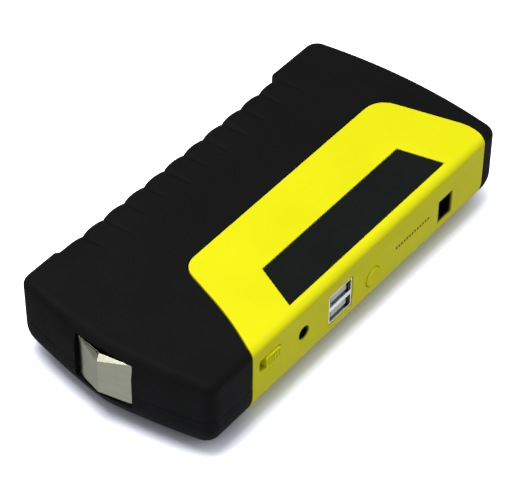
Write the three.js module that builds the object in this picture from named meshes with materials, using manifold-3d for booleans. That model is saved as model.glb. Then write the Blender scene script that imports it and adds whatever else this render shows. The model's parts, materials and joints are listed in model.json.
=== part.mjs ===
// Jump starter pack: a battery pack that starts a car, with a steel window breaker in its nose,
// a port side under a yellow wrap-round cover, and a lamp and covered jump socket in its far end.
// Millimetres, +Z up, standing on its base at z = 0. +X runs from the nose to the lamp end,
// and the port side faces -Y.
import * as THREE from "three";
import { ConvexGeometry } from "three/addons/geometries/ConvexGeometry.js";
import { mergeVertices } from "three/addons/utils/BufferGeometryUtils.js";
import Module from "manifold-3d";

const wasm = await Module();
wasm.setup();

// ---------------------------------------------------------------- driving dimensions

const LENGTH = 175;
const WIDTH = 83;
const HEIGHT = 34.5;
const WALL = 2.2;
const GAP = 0.3; // clearance between pieces that seat on or in each other
const SEAM = 0.35; // open joint between the outer mouldings

// The casing's form
const TOP_ROUND = 3.2;
const BASE_ROUND = 14;
const FAR_CORNER = 3.8;
const NEAR_CORNER = 4;
const CORNER_TAPER = 0.16; // how much it tightens where the top and base round in
const FAR_BOW = 4; // how much further the far end reaches at its middle than at its sides
const NOSE_POINT = 7.5; // the same for the pointed near end, at the belt
const NOSE_POINT_TOP = 5; // and along its top edge
const NOSE_RETREAT = 2.3; // how far the nose leans back at the top
const NOSE_LEAN = 10.5; // height of the part of the nose that leans
const NOSE_CURVE = 1.3;

// The scalloped grip along the +Y side
const GRIP_NEAR = 26; // length of the plain block before the grip
const GRIP_FAR = 30.9; // and of the one after it, with its ramp
const LOBES = 11;
const GRIP_RECESS = [1.15, 2.3]; // crest of a lobe, below the blocks at the near end and the far one
const LOBE_DEPTH = 1.0;
const GRIP_RAMP_NEAR = 1.6;
const GRIP_RAMP_FAR = 1.7;
const FLUTE_REACH = 15; // how far the flutes run in over the top
const FLUTE_RADIUS = 1.3;

// The joint between the two black shells, and the ledge that carries the yellow cover
const PARTING = HEIGHT / 2;
const LIP = 1.2;
const LIP_ABOVE = 2.2;
const LIP_BELOW = 1.8;
const FUSE = 0.4; // how deep joined features run into each other
const LEDGE_IN = 1.8;
const LEDGE_OUT = 1.6;
const RIB = 2;

// The yellow cover: its edge on the top face, and its ends, from the ends of the pack
const COVER_TOP_EDGE = 2;
const COVER_NEAR = 28.7; // along the port side
const COVER_FAR = 11.9;
const COVER_TOP_NEAR = 46.2; // along its top edge
const COVER_TOP_FAR = 18.1;
const COVER_BEND = [36.5, 15.5]; // the bend in its near edge, from the nose and the side
const COVER_SHOULDER = [9.1, 7.5]; // the bend in its far edge

// The label plate: its long sides from the port side, and their ends from the pack's ends
const LABEL_BACK = 21.5 - WIDTH / 2;
const LABEL_FRONT = 4.3 - WIDTH / 2;
const LABEL_BACK_ENDS = [61.5 - LENGTH / 2, LENGTH / 2 - 36];
const LABEL_FRONT_ENDS = [53.7 - LENGTH / 2, LENGTH / 2 - 32];
const LABEL_THICK = 0.4;

// The circuit board behind the port side
const BOARD_THICK = 1.6;
const BOARD_TOP = 13.2;
const BOARD_DEPTH = 24;
const BOARD_ENDS = [30.5 - LENGTH / 2, LENGTH / 2 - 27.5];

// A place along the cover's side, as a share of the way from its near end to its far one
const alongSide = (share) => COVER_NEAR - LENGTH / 2 + share * (LENGTH - COVER_NEAR - COVER_FAR);

// Ports and controls in the side: middle x, middle z and sizes
const USB_X = alongSide(0.36012);
const USB_WIDTH = 13.2;
const USB_HEIGHT = 15;
const USB_DEPTH = 17.5;
const USB_RECESS = 1;
const USB_SHEET = 0.4;
const USB_PORT_HEIGHT = 5.2;
const USB_TONGUE = 1.9;
const USB_TONGUE_RECESS = 1;
const USB_BACK = 5;

const INLET_X = alongSide(0.20685);
const INLET_Z = 21.4;
const INLET_HOLE = 3; // radius
const INLET_BORE = 3.2;
const INLET_WIDTH = 9.6;
const INLET_DEPTH = 14;
const INLET_PIN = 1.05;
const INLET_PIN_RECESS = 2.2;

const OUTLET_X = alongSide(0.82589);
const OUTLET_Z = 18.3;
const OUTLET_WIDTH = 8;
const OUTLET_HEIGHT = 9.8;
const OUTLET_RIM = 0.8;
const OUTLET_DEPTH = 15;
const OUTLET_WELL = 5.4;
const OUTLET_BORE = 2.8;
const OUTLET_PIN = 0.8;

const BUTTON_X = alongSide(0.50074);
const BUTTON_Z = 17.2;
const BUTTON_RADIUS = 4.9;
const BUTTON_PROUD = 0.7;
const BUTTON_TRAVEL = 0.8;
const BUTTON_FLANGE = 1.2;
const FLANGE_THICK = 0.8;
const STEM_RADIUS = 1.4;
const PLUNGER_RADIUS = 1.7;
const SWITCH_SIZE = 7;
const SWITCH_DEPTH = 5;

const SELECTOR_X = alongSide(0.07887);
const SELECTOR_Z = HEIGHT - 10.1;
const SELECTOR_WIDTH = 8;
const SELECTOR_HEIGHT = 4.6;
const SELECTOR_PROUD = 0.7;
const SELECTOR_TRAVEL = 2.6;
const SELECTOR_FLANGE = 1.3; // above and below the thumb
const SELECTOR_BODY = [11, 5];

const DOTS = 13;
const DOT_PITCH = 1.6;
const DOT_SIZE = 0.9;
const DOTS_X = alongSide(0.6756);
const DOTS_Z = 20.4;
const PIPE_DEPTH = 2.4;
const PIPE_HEIGHT = 2.6;
const PIPE_LEG = 2;

// The steel window breaker in the nose
const HAMMER_HALF_WIDTH = 11.75;
const HAMMER_BASE = 11.6;
const HAMMER_TOP = HEIGHT - 4.25;
const HAMMER_BEVEL = 2.1;
const HAMMER_CROWN = 0.85; // rise of its top to the middle
const HAMMER_APEX = 1.4; // how far its top point lies behind the ridge
const HAMMER_POINT = 4.1; // how far the ridge stands beyond the sides
const HAMMER_SUNK = 1.45; // how far the sides lie inside the nose
const HAMMER_ROOM = 0.5; // clearance in the nose's mouth
const HAMMER_FLANGE = 2;
const HAMMER_FLANGE_THICK = 2.6;

// The lamp in the far end, whose middle is as far below the top as the jump socket's
const END_ROW = 12.1;
const LAMP_Y = -18;
const LAMP_Z = HEIGHT - END_ROW;
const LAMP_WIDTH = 26;
const LAMP_HEIGHT = 13.4;
const LENS_RIM = 1.2;
const LENS_RIM_THICK = 1.2;
const LAMP_LEDS = 3;
const LED_PITCH = 7.8;
const LED_RADIUS = 1.4;
const LED_HEIGHT = 2.6;
const CUP_RADIUS = 3.5;
const REFLECTOR_DEPTH = 6;
const LAMP_BOARD_THICK = 1.2;

// The jump socket in the far end and its hinged cover
const SOCKET_Y = 17.5;
const SOCKET_Z = HEIGHT - END_ROW;
const SOCKET_WIDTH = 23.4;
const SOCKET_HEIGHT = 12.4;
const SOCKET_WALL = 1.5;
const SOCKET_DEPTH = 18.5;
const SOCKET_FLOOR = 4.5;
const CONTACT_PITCH = 10.6;
const CONTACT_RADIUS = 2.6;
const CONTACT_BORE = 1.7;
const CONTACT_RECESS = 7;
const CONTACT_TAIL = 2.5;
const DOOR_MARGIN = 2; // how far the cover laps the socket all round
const DOOR_THICK = 1.8;
const DOOR_PLUG = 1.8;
const DOOR_PLUG_WALL = 1.2;
const HINGE_PIN = 0.8;
const HINGE_KNUCKLE = 1.6;
const HINGE_INSET = 1.75; // depth of the hinge axis below the end face
const HINGE_REACH = 1.8; // how far the pin's holes run on past the cover
const PAD = 2.2; // thickening of the end wall round the cover's recess

// The cells, in a bay behind the board
const CELLS = 4;
const CELL_ENDS = [17.5 - LENGTH / 2, LENGTH / 2 - 41.5];
const CELL_CORNER = 2.5;
const CELL_EDGE = 0.7;
const BAY_CLEARANCE = 2;
const TERRACE = 3;
const TERRACE_THICK = 1;
const TAB_REACH = 5;
const TAB_WIDTH = 8;
const TAB_THICK = 0.5;
const LINK_THICK = 0.8;
const LEAD_RADIUS = 2;

// Screws
const SHELL_SCREW_PLACES = [
  [12.5 - LENGTH / 2, WIDTH / 2 - 19.5],
  [21.5 - LENGTH / 2, 12.5 - WIDTH / 2],
  [LENGTH / 2 - 13.1, 0.9],
  [LENGTH / 2 - 30.5, WIDTH / 2 - 10.5],
];
const SCREW_RADIUS = 1.3;
const SCREW_HEAD = 2.5;
const SCREW_HEAD_HEIGHT = 2;
const SCREW_LENGTH = 19.5;
const SCREW_SEAT = 7;
const POST_RADIUS = 4;
const UPPER_POST_RADIUS = 3.2;
const BOARD_SCREW_RADIUS = 1;
const BOARD_SCREW_HEAD = 1.9;
const BOARD_SCREW_LENGTH = 6;
const BOARD_SCREW_INSET = 4.25; // from the board's long edges
const STANDOFF_RADIUS = 2.7;

// The largest pieces on the board
const INDUCTOR_RADIUS = 6;
const INDUCTOR_HEIGHT = 8;
const INDUCTOR_WAIST = 1.2;
const CAPACITOR_RADIUS = 3.6;
const CAPACITOR_HEIGHT = 11;
const MOSFET_WIDTH = 6.6;
const MOSFET_DEPTH = 6;
const MOSFET_HEIGHT = 2.3;
const CHIP_SIZE = 9;
const CHIP_HEIGHT = 1.4;
const ROW_INSET = 0.9; // the back row's clearance from the board's back edge

// ---------------------------------------------------------------- worked out from these

const SIDE = -WIDTH / 2; // outer face of the port side
const SIDE_INNER = SIDE + WALL;
const FLANGE_FRONT = SIDE_INNER + GAP; // where pieces behind the side start
const BOARD_FRONT = FLANGE_FRONT + FLANGE_THICK + BUTTON_TRAVEL + 2 * GAP;
const BOARD_BACK = BOARD_FRONT + BOARD_DEPTH;
const BOARD_SEAT = BOARD_TOP + GAP; // where pieces on the board stand
const BOARD_SCREW_PLACES = [
  [(SELECTOR_X + INLET_X) / 2, BOARD_FRONT + BOARD_SCREW_INSET],
  [(SELECTOR_X + INLET_X) / 2, BOARD_BACK - BOARD_SCREW_INSET],
  [(DOTS_X + OUTLET_X) / 2, BOARD_BACK - BOARD_SCREW_INSET],
  [DOTS_X, BOARD_FRONT + BOARD_SCREW_INSET],
];
const COVER_EDGE = [
  [LENGTH / 2 - COVER_TOP_FAR, COVER_TOP_EDGE, 8],
  [COVER_TOP_NEAR - LENGTH / 2, COVER_TOP_EDGE, 6],
  [COVER_BEND[0] - LENGTH / 2, COVER_BEND[1] - WIDTH / 2, 11],
  [alongSide(0), 1.3 - WIDTH / 2, 3],
  [alongSide(0), -WIDTH, 0],
  [alongSide(1), -WIDTH, 0],
  [alongSide(1), -0.5 - WIDTH / 2, 3],
  [LENGTH / 2 - COVER_SHOULDER[0], COVER_SHOULDER[1] - WIDTH / 2, 5],
]; // in plan, running out past the port side: x, y, rounding
const GRIP_START = GRIP_NEAR - LENGTH / 2;
const GRIP_END = LENGTH / 2 - GRIP_FAR;
const LOBE_PITCH = (GRIP_END - GRIP_START) / LOBES;
const GRIP_DEEPEST = GRIP_RECESS[1] + LOBE_DEPTH;
const LINING = WALL + GAP + LIP;
const BELT = HEIGHT - NOSE_LEAN;

// ---------------------------------------------------------------- solids

// A closed geometry as a solid that can be cut and joined.
function solid(geometry) {
  const bare = geometry.clone();
  bare.deleteAttribute("normal");
  bare.deleteAttribute("uv");
  const merged = mergeVertices(bare, 1e-4);
  return new wasm.Manifold(
    new wasm.Mesh({
      numProp: 3,
      vertProperties: new Float32Array(merged.attributes.position.array),
      triVerts: new Uint32Array(merged.index.array),
    }),
  );
}

function geometryOf(body) {
  const mesh = body.getMesh();
  const geometry = new THREE.BufferGeometry();
  geometry.setAttribute("position", new THREE.BufferAttribute(mesh.vertProperties, 3));
  geometry.setIndex(new THREE.BufferAttribute(mesh.triVerts, 1));
  geometry.computeVertexNormals();
  return geometry;
}

function extrude(shape, depth, segments) {
  return new THREE.ExtrudeGeometry(shape, {
    depth,
    curveSegments: segments,
    bevelEnabled: false,
  });
}

// A plan shape (x, y) between two heights.
function upright(shape, low, high, segments = 6) {
  return solid(extrude(shape, high - low, segments).translate(0, 0, low));
}

// A shape drawn in (x, z) between two places along y.
function alongY(shape, low, high, segments = 6) {
  const geometry = extrude(shape, high - low, segments);
  geometry.rotateX(Math.PI / 2).translate(0, high, 0);
  return solid(geometry);
}

// A shape drawn in (y, z) between two places along x.
function alongX(shape, low, high, segments = 6) {
  const turn = new THREE.Matrix4().set(0, 0, 1, 0, 1, 0, 0, 0, 0, 1, 0, 0, 0, 0, 0, 1);
  const geometry = extrude(shape, high - low, segments).applyMatrix4(turn);
  return solid(geometry.translate(low, 0, 0));
}

// A rectangle by its middle and size, with rounded corners.
function rectangle(u, v, width, height, radius = 0) {
  const shape = new THREE.Shape();
  const [left, right] = [u - width / 2, u + width / 2];
  const [low, high] = [v - height / 2, v + height / 2];
  if (radius === 0) {
    shape.moveTo(left, low).lineTo(right, low).lineTo(right, high).lineTo(left, high);
    return shape;
  }
  shape.moveTo(left + radius, low);
  shape.lineTo(right - radius, low);
  shape.absarc(right - radius, low + radius, radius, -Math.PI / 2, 0);
  shape.lineTo(right, high - radius);
  shape.absarc(right - radius, high - radius, radius, 0, Math.PI / 2);
  shape.lineTo(left + radius, high);
  shape.absarc(left + radius, high - radius, radius, Math.PI / 2, Math.PI);
  shape.lineTo(left, low + radius);
  shape.absarc(left + radius, low + radius, radius, Math.PI, 1.5 * Math.PI);
  return shape;
}

function disc(u, v, radius) {
  return new THREE.Shape().absarc(u, v, radius, 0, 2 * Math.PI);
}

// A polygon moved outwards by the same distance on every side.
function growPolygon(corners, distance) {
  return corners.map(([x, y, radius], i) => {
    const [px, py] = corners[(i + corners.length - 1) % corners.length];
    const [nx, ny] = corners[(i + 1) % corners.length];
    const before = new THREE.Vector2(x - px, y - py).normalize();
    const after = new THREE.Vector2(nx - x, ny - y).normalize();
    const across = new THREE.Vector2(before.y + after.y, -before.x - after.x).normalize();
    const reach = distance / across.dot(new THREE.Vector2(before.y, -before.x));
    return [x + across.x * reach, y + across.y * reach, radius];
  });
}

// A polygon of [x, y, rounding] corners as a shape.
function roundedPolygon(corners) {
  const shape = new THREE.Shape();
  corners.forEach(([x, y, radius], i) => {
    const [px, py] = corners[(i + corners.length - 1) % corners.length];
    const [nx, ny] = corners[(i + 1) % corners.length];
    const tip = new THREE.Vector2(x, y);
    const enter = new THREE.Vector2(px - x, py - y).setLength(radius).add(tip);
    const leave = new THREE.Vector2(nx - x, ny - y).setLength(radius).add(tip);
    if (i === 0) shape.moveTo(enter.x, enter.y);
    else shape.lineTo(enter.x, enter.y);
    if (radius > 0) shape.quadraticCurveTo(tip.x, tip.y, leave.x, leave.y);
  });
  return shape;
}

// Everything between two heights.
function band(low, high) {
  return upright(rectangle(0, 0, 2 * LENGTH, 2 * WIDTH), low, high);
}

// ---------------------------------------------------------------- the casing's form

// How far the lobes' crests lie below the blocks, more and more towards the far end.
function crestRecess(x) {
  const share = (x - GRIP_START) / (GRIP_END - GRIP_START);
  return GRIP_RECESS[0] + (GRIP_RECESS[1] - GRIP_RECESS[0]) * share;
}

// Side recess of the +Y side from its far end to its near end, as [x, recess] pairs.
// The coarse form, used inside the wall, has the flutes' depth all along.
function gripProfile(fine) {
  const profile = [[GRIP_END + GRIP_RAMP_FAR, 0]];
  if (!fine) {
    profile.push([GRIP_END, GRIP_DEEPEST]);
    profile.push([GRIP_START, crestRecess(GRIP_START) + LOBE_DEPTH]);
  } else {
    const steps = 3;
    for (let k = 0; k < LOBES * steps; k++) {
      const x = GRIP_END - (k / steps) * LOBE_PITCH;
      const fromCrest = 1 - (2 * (k % steps)) / steps;
      profile.push([x, crestRecess(x) + LOBE_DEPTH * fromCrest ** 2]);
    }
    profile.push([GRIP_START, crestRecess(GRIP_START)]);
  }
  profile.push([GRIP_START - GRIP_RAMP_NEAR, 0]);
  return profile;
}

function corner(from, tip, to, steps) {
  const curve = new THREE.CubicBezierCurve(
    from,
    from.clone().lerp(tip, 0.55),
    to.clone().lerp(tip, 0.55),
    to,
  );
  return curve.getPoints(steps);
}

// One plan outline of the casing, counter-clockwise from above.
function planOutline(level, offset, fine) {
  const halfWidth = WIDTH / 2 - offset - level.inset;
  const halfLength = LENGTH / 2 - offset - level.inset;
  const farRound = Math.max(FAR_CORNER - offset, 1.5);
  const nearRound = Math.max(NEAR_CORNER - offset - CORNER_TAPER * level.inset, 1.5);
  const farY = halfWidth - farRound;
  const nearY = halfWidth - nearRound;
  const far = (y) => halfLength - FAR_BOW * (y / (WIDTH / 2)) ** 2;
  const near = (y) =>
    -halfLength + level.retreat + level.nose * (Math.abs(y) / (WIDTH / 2)) ** NOSE_CURVE;
  const point = (x, y) => new THREE.Vector2(x, y);
  const farX = far(halfWidth);
  const nearX = near(halfWidth);
  const [steps, bends] = fine ? [6, 4] : [6, 3];
  const farSteps = fine ? 8 : 6;
  const outline = [];
  for (let k = 1; k < farSteps; k++) {
    const y = farY * ((2 * k) / farSteps - 1);
    outline.push(point(far(y), y));
  }
  const backFar = [point(far(farY), farY), point(farX, halfWidth), point(farX - farRound, halfWidth)];
  outline.push(...corner(...backFar, bends));
  for (const [x, recess] of gripProfile(fine)) outline.push(point(x, halfWidth - recess));
  const backNear = [point(nearX + nearRound, halfWidth), point(nearX, halfWidth), point(near(nearY), nearY)];
  outline.push(...corner(...backNear, bends));
  for (let k = 1; k < steps; k++) {
    const y = nearY * (1 - (2 * k) / steps);
    outline.push(point(near(y), y));
  }
  const frontNear = [point(near(nearY), -nearY), point(nearX, -halfWidth), point(nearX + nearRound, -halfWidth)];
  outline.push(...corner(...frontNear, bends));
  const frontFar = [point(farX - farRound, -halfWidth), point(farX, -halfWidth), point(far(farY), -farY)];
  outline.push(...corner(...frontFar, bends));
  return outline;
}

// The heights where the outline changes, from the base to the top.
function casingLevels(offset, fine) {
  const topRound = Math.max(TOP_ROUND - offset, 1);
  const baseRound = BASE_ROUND - offset;
  const [base, top] = [offset, HEIGHT - offset];
  const [baseSteps, topSteps] = fine ? [5, 3] : [4, 2];
  const heights = [];
  for (let k = 0; k <= baseSteps; k++) {
    const turn = (k / baseSteps) * (Math.PI / 2);
    heights.push([base + baseRound * (1 - Math.cos(turn)), baseRound * (1 - Math.sin(turn))]);
  }
  heights.push([BELT, 0]);
  heights.push([(BELT + top - topRound) / 2, 0]);
  for (let k = 0; k <= topSteps; k++) {
    const turn = (k / topSteps) * (Math.PI / 2);
    heights.push([top - topRound * (1 - Math.sin(turn)), topRound * (1 - Math.cos(turn))]);
  }
  return heights.map(([z, inset]) => {
    const lean = Math.max((z - BELT) / NOSE_LEAN, 0) ** 1.5;
    return {
      z,
      inset,
      retreat: NOSE_RETREAT * lean,
      nose: NOSE_POINT + (NOSE_POINT_TOP - NOSE_POINT) * lean,
    };
  });
}

// A closed skin through rings of equal length, counter-clockwise from above, lowest first.
function loft(rings) {
  const count = rings[0].length;
  const position = rings.flat().flatMap((p) => [p.x, p.y, p.z]);
  const index = [];
  for (let r = 0; r + 1 < rings.length; r++) {
    for (let i = 0; i < count; i++) {
      const a = r * count + i;
      const b = r * count + ((i + 1) % count);
      index.push(a, b, b + count);
      index.push(a, b + count, a + count);
    }
  }
  const cap = (ring) => THREE.ShapeUtils.triangulateShape(ring.map((p) => new THREE.Vector2(p.x, p.y)), []);
  const last = (rings.length - 1) * count;
  for (const [a, b, c] of cap(rings[0])) index.push(a, c, b);
  for (const [a, b, c] of cap(rings[rings.length - 1])) index.push(last + a, last + b, last + c);
  const geometry = new THREE.BufferGeometry();
  geometry.setAttribute("position", new THREE.Float32BufferAttribute(position, 3));
  geometry.setIndex(index);
  return geometry;
}

// The casing's whole form, or, more coarsely, the same form moved inwards.
function casing(offset, fine = false) {
  const rings = casingLevels(offset, fine).map((level) =>
    planOutline(level, offset, fine).map((p) => new THREE.Vector3(p.x, p.y, level.z)),
  );
  return solid(loft(rings));
}

// The far end's outer face in plan, at the belt.
function farFace(y) {
  return LENGTH / 2 - FAR_BOW * (y / (WIDTH / 2)) ** 2;
}

const outer = casing(0, true);
const inner = casing(WALL);
const liningOuter = casing(WALL + GAP);
const liningInner = casing(LINING);
const skin = outer.subtract(inner);
const lining = liningOuter.subtract(liningInner);
const thickWall = casing(WALL - FUSE).subtract(liningInner);

function coverPrism(grow) {
  return upright(roundedPolygon(growPolygon(COVER_EDGE, grow)), -1, HEIGHT + 1, 5);
}

const coverRegion = coverPrism(SEAM);
const insideLedge = coverPrism(-LEDGE_IN);
const ledgeRegion = coverPrism(LEDGE_OUT);

// The black ledge under the yellow cover's edge, joined to the wall beside it.
const ledge = lining
  .intersect(ledgeRegion.subtract(insideLedge))
  .add(thickWall.intersect(ledgeRegion.subtract(coverRegion)));

// ---------------------------------------------------------------- cut-outs in the casing

// The flutes between the lobes, cut over the rounded top edge and fading out on the top face.
function flutes() {
  const overrun = 3;
  const length = FLUTE_REACH + overrun;
  const cuts = [];
  for (let k = 1; k <= LOBES; k++) {
    const x = GRIP_START + k * LOBE_PITCH;
    const edge = WIDTH / 2 - crestRecess(x) - LOBE_DEPTH;
    const cone = new THREE.ConeGeometry(FLUTE_RADIUS, length, 6);
    cone.rotateX(Math.PI);
    cone.translate(x, edge + overrun - length / 2, HEIGHT);
    cuts.push(solid(cone));
  }
  return cuts;
}

// The nose's mouth that the hammer sits in, pointed above as the hammer is.
function hammerMouth() {
  const half = HAMMER_HALF_WIDTH + HAMMER_ROOM;
  const [low, high] = [HAMMER_BASE - HAMMER_ROOM, HAMMER_TOP + HAMMER_ROOM];
  const mouth = new THREE.Shape();
  mouth.moveTo(-half, low).lineTo(half, low).lineTo(half, high);
  return mouth.lineTo(0, high + HAMMER_CROWN).lineTo(-half, high);
}

const hammerHole = alongX(hammerMouth(), -LENGTH / 2 - 2, -LENGTH / 2 + 2 * LINING);

// The lamp's window, larger or smaller by the same distance all round.
function lampRegion(grow) {
  return alongX(
    rectangle(LAMP_Y, LAMP_Z, LAMP_WIDTH + 2 * grow, LAMP_HEIGHT + 2 * grow, 3 + grow),
    LENGTH / 2 - 2 * LINING - FAR_BOW,
    LENGTH / 2 + 2,
    3,
  );
}

// The window through the wall and the wider seat behind it for the lens's rim.
const lampHole = lampRegion(0).add(lampRegion(LENS_RIM + GAP).intersect(casing(WALL + GAP / 2)));

// The cover of the jump socket, in (y, z)
const DOOR_WIDTH = SOCKET_WIDTH + 2 * DOOR_MARGIN;
const DOOR_HEIGHT = SOCKET_HEIGHT + 2 * DOOR_MARGIN;
const DOOR_LOW = SOCKET_Z - DOOR_HEIGHT / 2;
const DOOR_HIGH = SOCKET_Z + DOOR_HEIGHT / 2;
const HINGE_Y = SOCKET_Y + DOOR_WIDTH / 2;
const HINGE_X = farFace(HINGE_Y) - HINGE_INSET;

const doorRegion = (grow) =>
  alongX(
    rectangle(SOCKET_Y, SOCKET_Z, DOOR_WIDTH + 2 * grow, DOOR_HEIGHT + 2 * grow, 1.5),
    LENGTH / 2 - 3 * LINING - FAR_BOW,
    LENGTH / 2 + 2,
    3,
  );

const socketHole = alongX(
  rectangle(SOCKET_Y, SOCKET_Z, SOCKET_WIDTH + 2 * GAP, SOCKET_HEIGHT + 2 * GAP, 1),
  LENGTH / 2 - 4 * LINING - FAR_BOW,
  LENGTH / 2 + 2,
  3,
);

function hingeRod(radius, reach) {
  return upright(disc(HINGE_X, HINGE_Y, radius), DOOR_LOW - reach, DOOR_HIGH + reach, 8);
}

// Room for the hinge knuckle, open to the end face.
function hingePocket() {
  const low = DOOR_LOW - GAP;
  const high = DOOR_HIGH + GAP;
  const room = HINGE_KNUCKLE + 2 * GAP;
  const round = upright(disc(HINGE_X, HINGE_Y, room), low, high, 12);
  const mouth = upright(rectangle(HINGE_X + 3, HINGE_Y, 6, 2 * room), low, high);
  return round.add(mouth);
}

// The recess that the cover lies in, the hole behind it and the hinge, cut from both shells.
const doorCut = doorRegion(GAP)
  .subtract(casing(WALL + GAP))
  .add(socketHole)
  .add(hingePocket())
  .add(hingeRod(HINGE_PIN + GAP, HINGE_REACH));

// The end wall, thickened round the cover's recess.
const doorPad = casing(WALL - FUSE).subtract(casing(WALL + PAD)).intersect(doorRegion(2.5));

// ---------------------------------------------------------------- finishes

function finish(color, roughness, metalness = 0) {
  return new THREE.MeshStandardMaterial({ color, roughness, metalness });
}

const blackShell = finish(0x1d1e1f, 0.7);
const yellowShell = finish(0xf2ea1c, 0.45);
const labelFilm = finish(0x232527, 0.35);
const steel = finish(0xb9bca8, 0.28, 1);
const tinPlate = finish(0xc9ccd0, 0.3, 1);
const blackPlastic = finish(0x101112, 0.5);
const whitePlastic = finish(0xe8e8e4, 0.5);
const brass = finish(0xc9a64a, 0.3, 1);
const bluePlastic = finish(0x1f4fa8, 0.45);
const rubber = finish(0x18191a, 0.85);
const clearPlastic = finish(0xe6eef2, 0.08);
const reflector = finish(0xdfe3e6, 0.12, 1);
const ledYellow = finish(0xf3d66a, 0.4);
const boardGreen = finish(0x14512f, 0.55);
const ferrite = finish(0x3a3c3f, 0.7);
const canSilver = finish(0xaeb4b8, 0.35, 1);
const pouchFoil = finish(0xc4c8cc, 0.4, 0.8);
const nickel = finish(0xbfb9a8, 0.35, 1);
const redSleeve = finish(0xb3171b, 0.55);
const blackSleeve = finish(0x151515, 0.6);
const foam = finish(0x4a4d50, 0.95);
const screwSteel = finish(0x8d9196, 0.35, 1);

const pack = new THREE.Group();

function place(name, shape, material, at = [0, 0, 0], parent = pack) {
  const geometry = shape.isBufferGeometry ? shape : geometryOf(shape);
  const mesh = new THREE.Mesh(geometry, material);
  mesh.name = name;
  mesh.position.set(...at);
  parent.add(mesh);
}

// ---------------------------------------------------------------- black shells

const PARTING_LOW = PARTING - SEAM / 2;
const PARTING_HIGH = PARTING + SEAM / 2;
const LIP_TOP = PARTING + LIP_ABOVE;

// Ribs that stand on the lower shell's floor, each a plan rectangle and a height.
function floorRibs() {
  const hammerStop = hammerFlangeBack() + GAP + RIB / 2;
  const cellStop = CELL_ENDS[0] - GAP - RIB / 2;
  const tabStop = CELL_ENDS[1] + TERRACE + GAP + RIB / 2;
  const cellRib = CELL_ENDS[1] - CELL_ENDS[0] - 16;
  const shelf = LAMP_Z - LAMP_HEIGHT / 2 + 0.5 - GAP;
  return [
    [hammerStop, -8, RIB, 6, PARTING_LOW],
    [hammerStop, 8, RIB, 6, PARTING_LOW],
    [cellStop, 8, RIB, 8, PARTING_LOW],
    [tabStop, BAY_MIDDLE, RIB, 6, PARTING_LOW],
    [(CELL_ENDS[0] + CELL_ENDS[1]) / 2, BAY_MIDDLE - 5, cellRib, RIB, STACK_LOW - GAP],
    [(CELL_ENDS[0] + CELL_ENDS[1]) / 2, BAY_MIDDLE + 5, cellRib, RIB, STACK_LOW - GAP],
    [REFLECTOR_FRONT - RIB, LAMP_Y + 1, RIB, LAMP_WIDTH - 4, shelf],
    [SOCKET_REAR + 2 * RIB, SOCKET_Y, RIB, SOCKET_WIDTH - 5, SOCKET_Z - SOCKET_HEIGHT / 2 - GAP],
  ].map(([x, y, length, width, top]) => upright(rectangle(x, y, length, width), 1, top));
}

function lowerShell() {
  const belowParting = band(-1, PARTING_LOW);
  const lip = lining
    .intersect(band(PARTING - LIP_BELOW, LIP_TOP))
    .subtract(insideLedge)
    .add(thickWall.intersect(band(PARTING - LIP_BELOW, PARTING_LOW)).subtract(coverRegion));
  let shell = skin.intersect(belowParting).subtract(coverRegion);
  shell = shell.add(ledge.intersect(belowParting)).add(lip);
  shell = shell.add(doorPad.intersect(belowParting));
  for (const [x, y] of SHELL_SCREW_PLACES) {
    const post = upright(disc(x, y, POST_RADIUS), -1, PARTING_LOW, 6).intersect(casing(WALL - FUSE));
    shell = shell.add(post);
  }
  for (const rib of floorRibs()) shell = shell.add(rib.intersect(casing(WALL - FUSE)));
  for (const [x, y] of SHELL_SCREW_PLACES) {
    shell = shell.subtract(upright(disc(x, y, SCREW_HEAD + GAP), -1, SCREW_SEAT, 6));
    shell = shell.subtract(upright(disc(x, y, SCREW_RADIUS + GAP), -1, PARTING, 6));
  }
  return shell.subtract(hammerHole).subtract(lampHole).subtract(doorCut);
}

function upperShell() {
  const aboveParting = band(PARTING_HIGH, HEIGHT + 1);
  const aboveLip = band(LIP_TOP + GAP, HEIGHT + 1);
  let shell = skin.intersect(aboveParting).subtract(coverRegion);
  shell = shell.add(ledge.intersect(aboveLip)).add(doorPad.intersect(aboveLip));
  for (const [x, y] of SHELL_SCREW_PLACES) {
    const post = upright(disc(x, y, UPPER_POST_RADIUS), PARTING_HIGH, HEIGHT, 6);
    shell = shell.add(post.intersect(casing(WALL - FUSE)));
  }
  const screwTop = SCREW_SEAT + GAP + SCREW_LENGTH;
  for (const [x, y] of SHELL_SCREW_PLACES) {
    shell = shell.subtract(upright(disc(x, y, SCREW_RADIUS + GAP), PARTING, screwTop + 1, 6));
  }
  for (const flute of flutes()) shell = shell.subtract(flute);
  return shell.subtract(hammerHole).subtract(lampHole).subtract(doorCut);
}

function shellScrew() {
  const profile = [
    [0, 0],
    [SCREW_HEAD * 0.8, 0],
    [SCREW_HEAD, SCREW_HEAD_HEIGHT * 0.4],
    [SCREW_HEAD, SCREW_HEAD_HEIGHT],
    [SCREW_RADIUS, SCREW_HEAD_HEIGHT],
    [SCREW_RADIUS, SCREW_HEAD_HEIGHT + SCREW_LENGTH - 1],
    [0, SCREW_HEAD_HEIGHT + SCREW_LENGTH],
  ];
  return revolve(profile, 9);
}

// A turned piece about z from [radius, height] pairs, lowest first.
function revolve(profile, sides) {
  const points = profile.map(([r, z]) => new THREE.Vector2(r, z));
  return solid(new THREE.LatheGeometry(points, sides).rotateX(Math.PI / 2));
}

// ---------------------------------------------------------------- yellow cover and its ports

function selectorSlot() {
  const width = SELECTOR_WIDTH + SELECTOR_TRAVEL + 2 * GAP;
  const middle = SELECTOR_X - SELECTOR_TRAVEL / 2;
  return rectangle(middle, SELECTOR_Z, width, SELECTOR_HEIGHT + 2 * GAP, 1.2);
}

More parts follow.
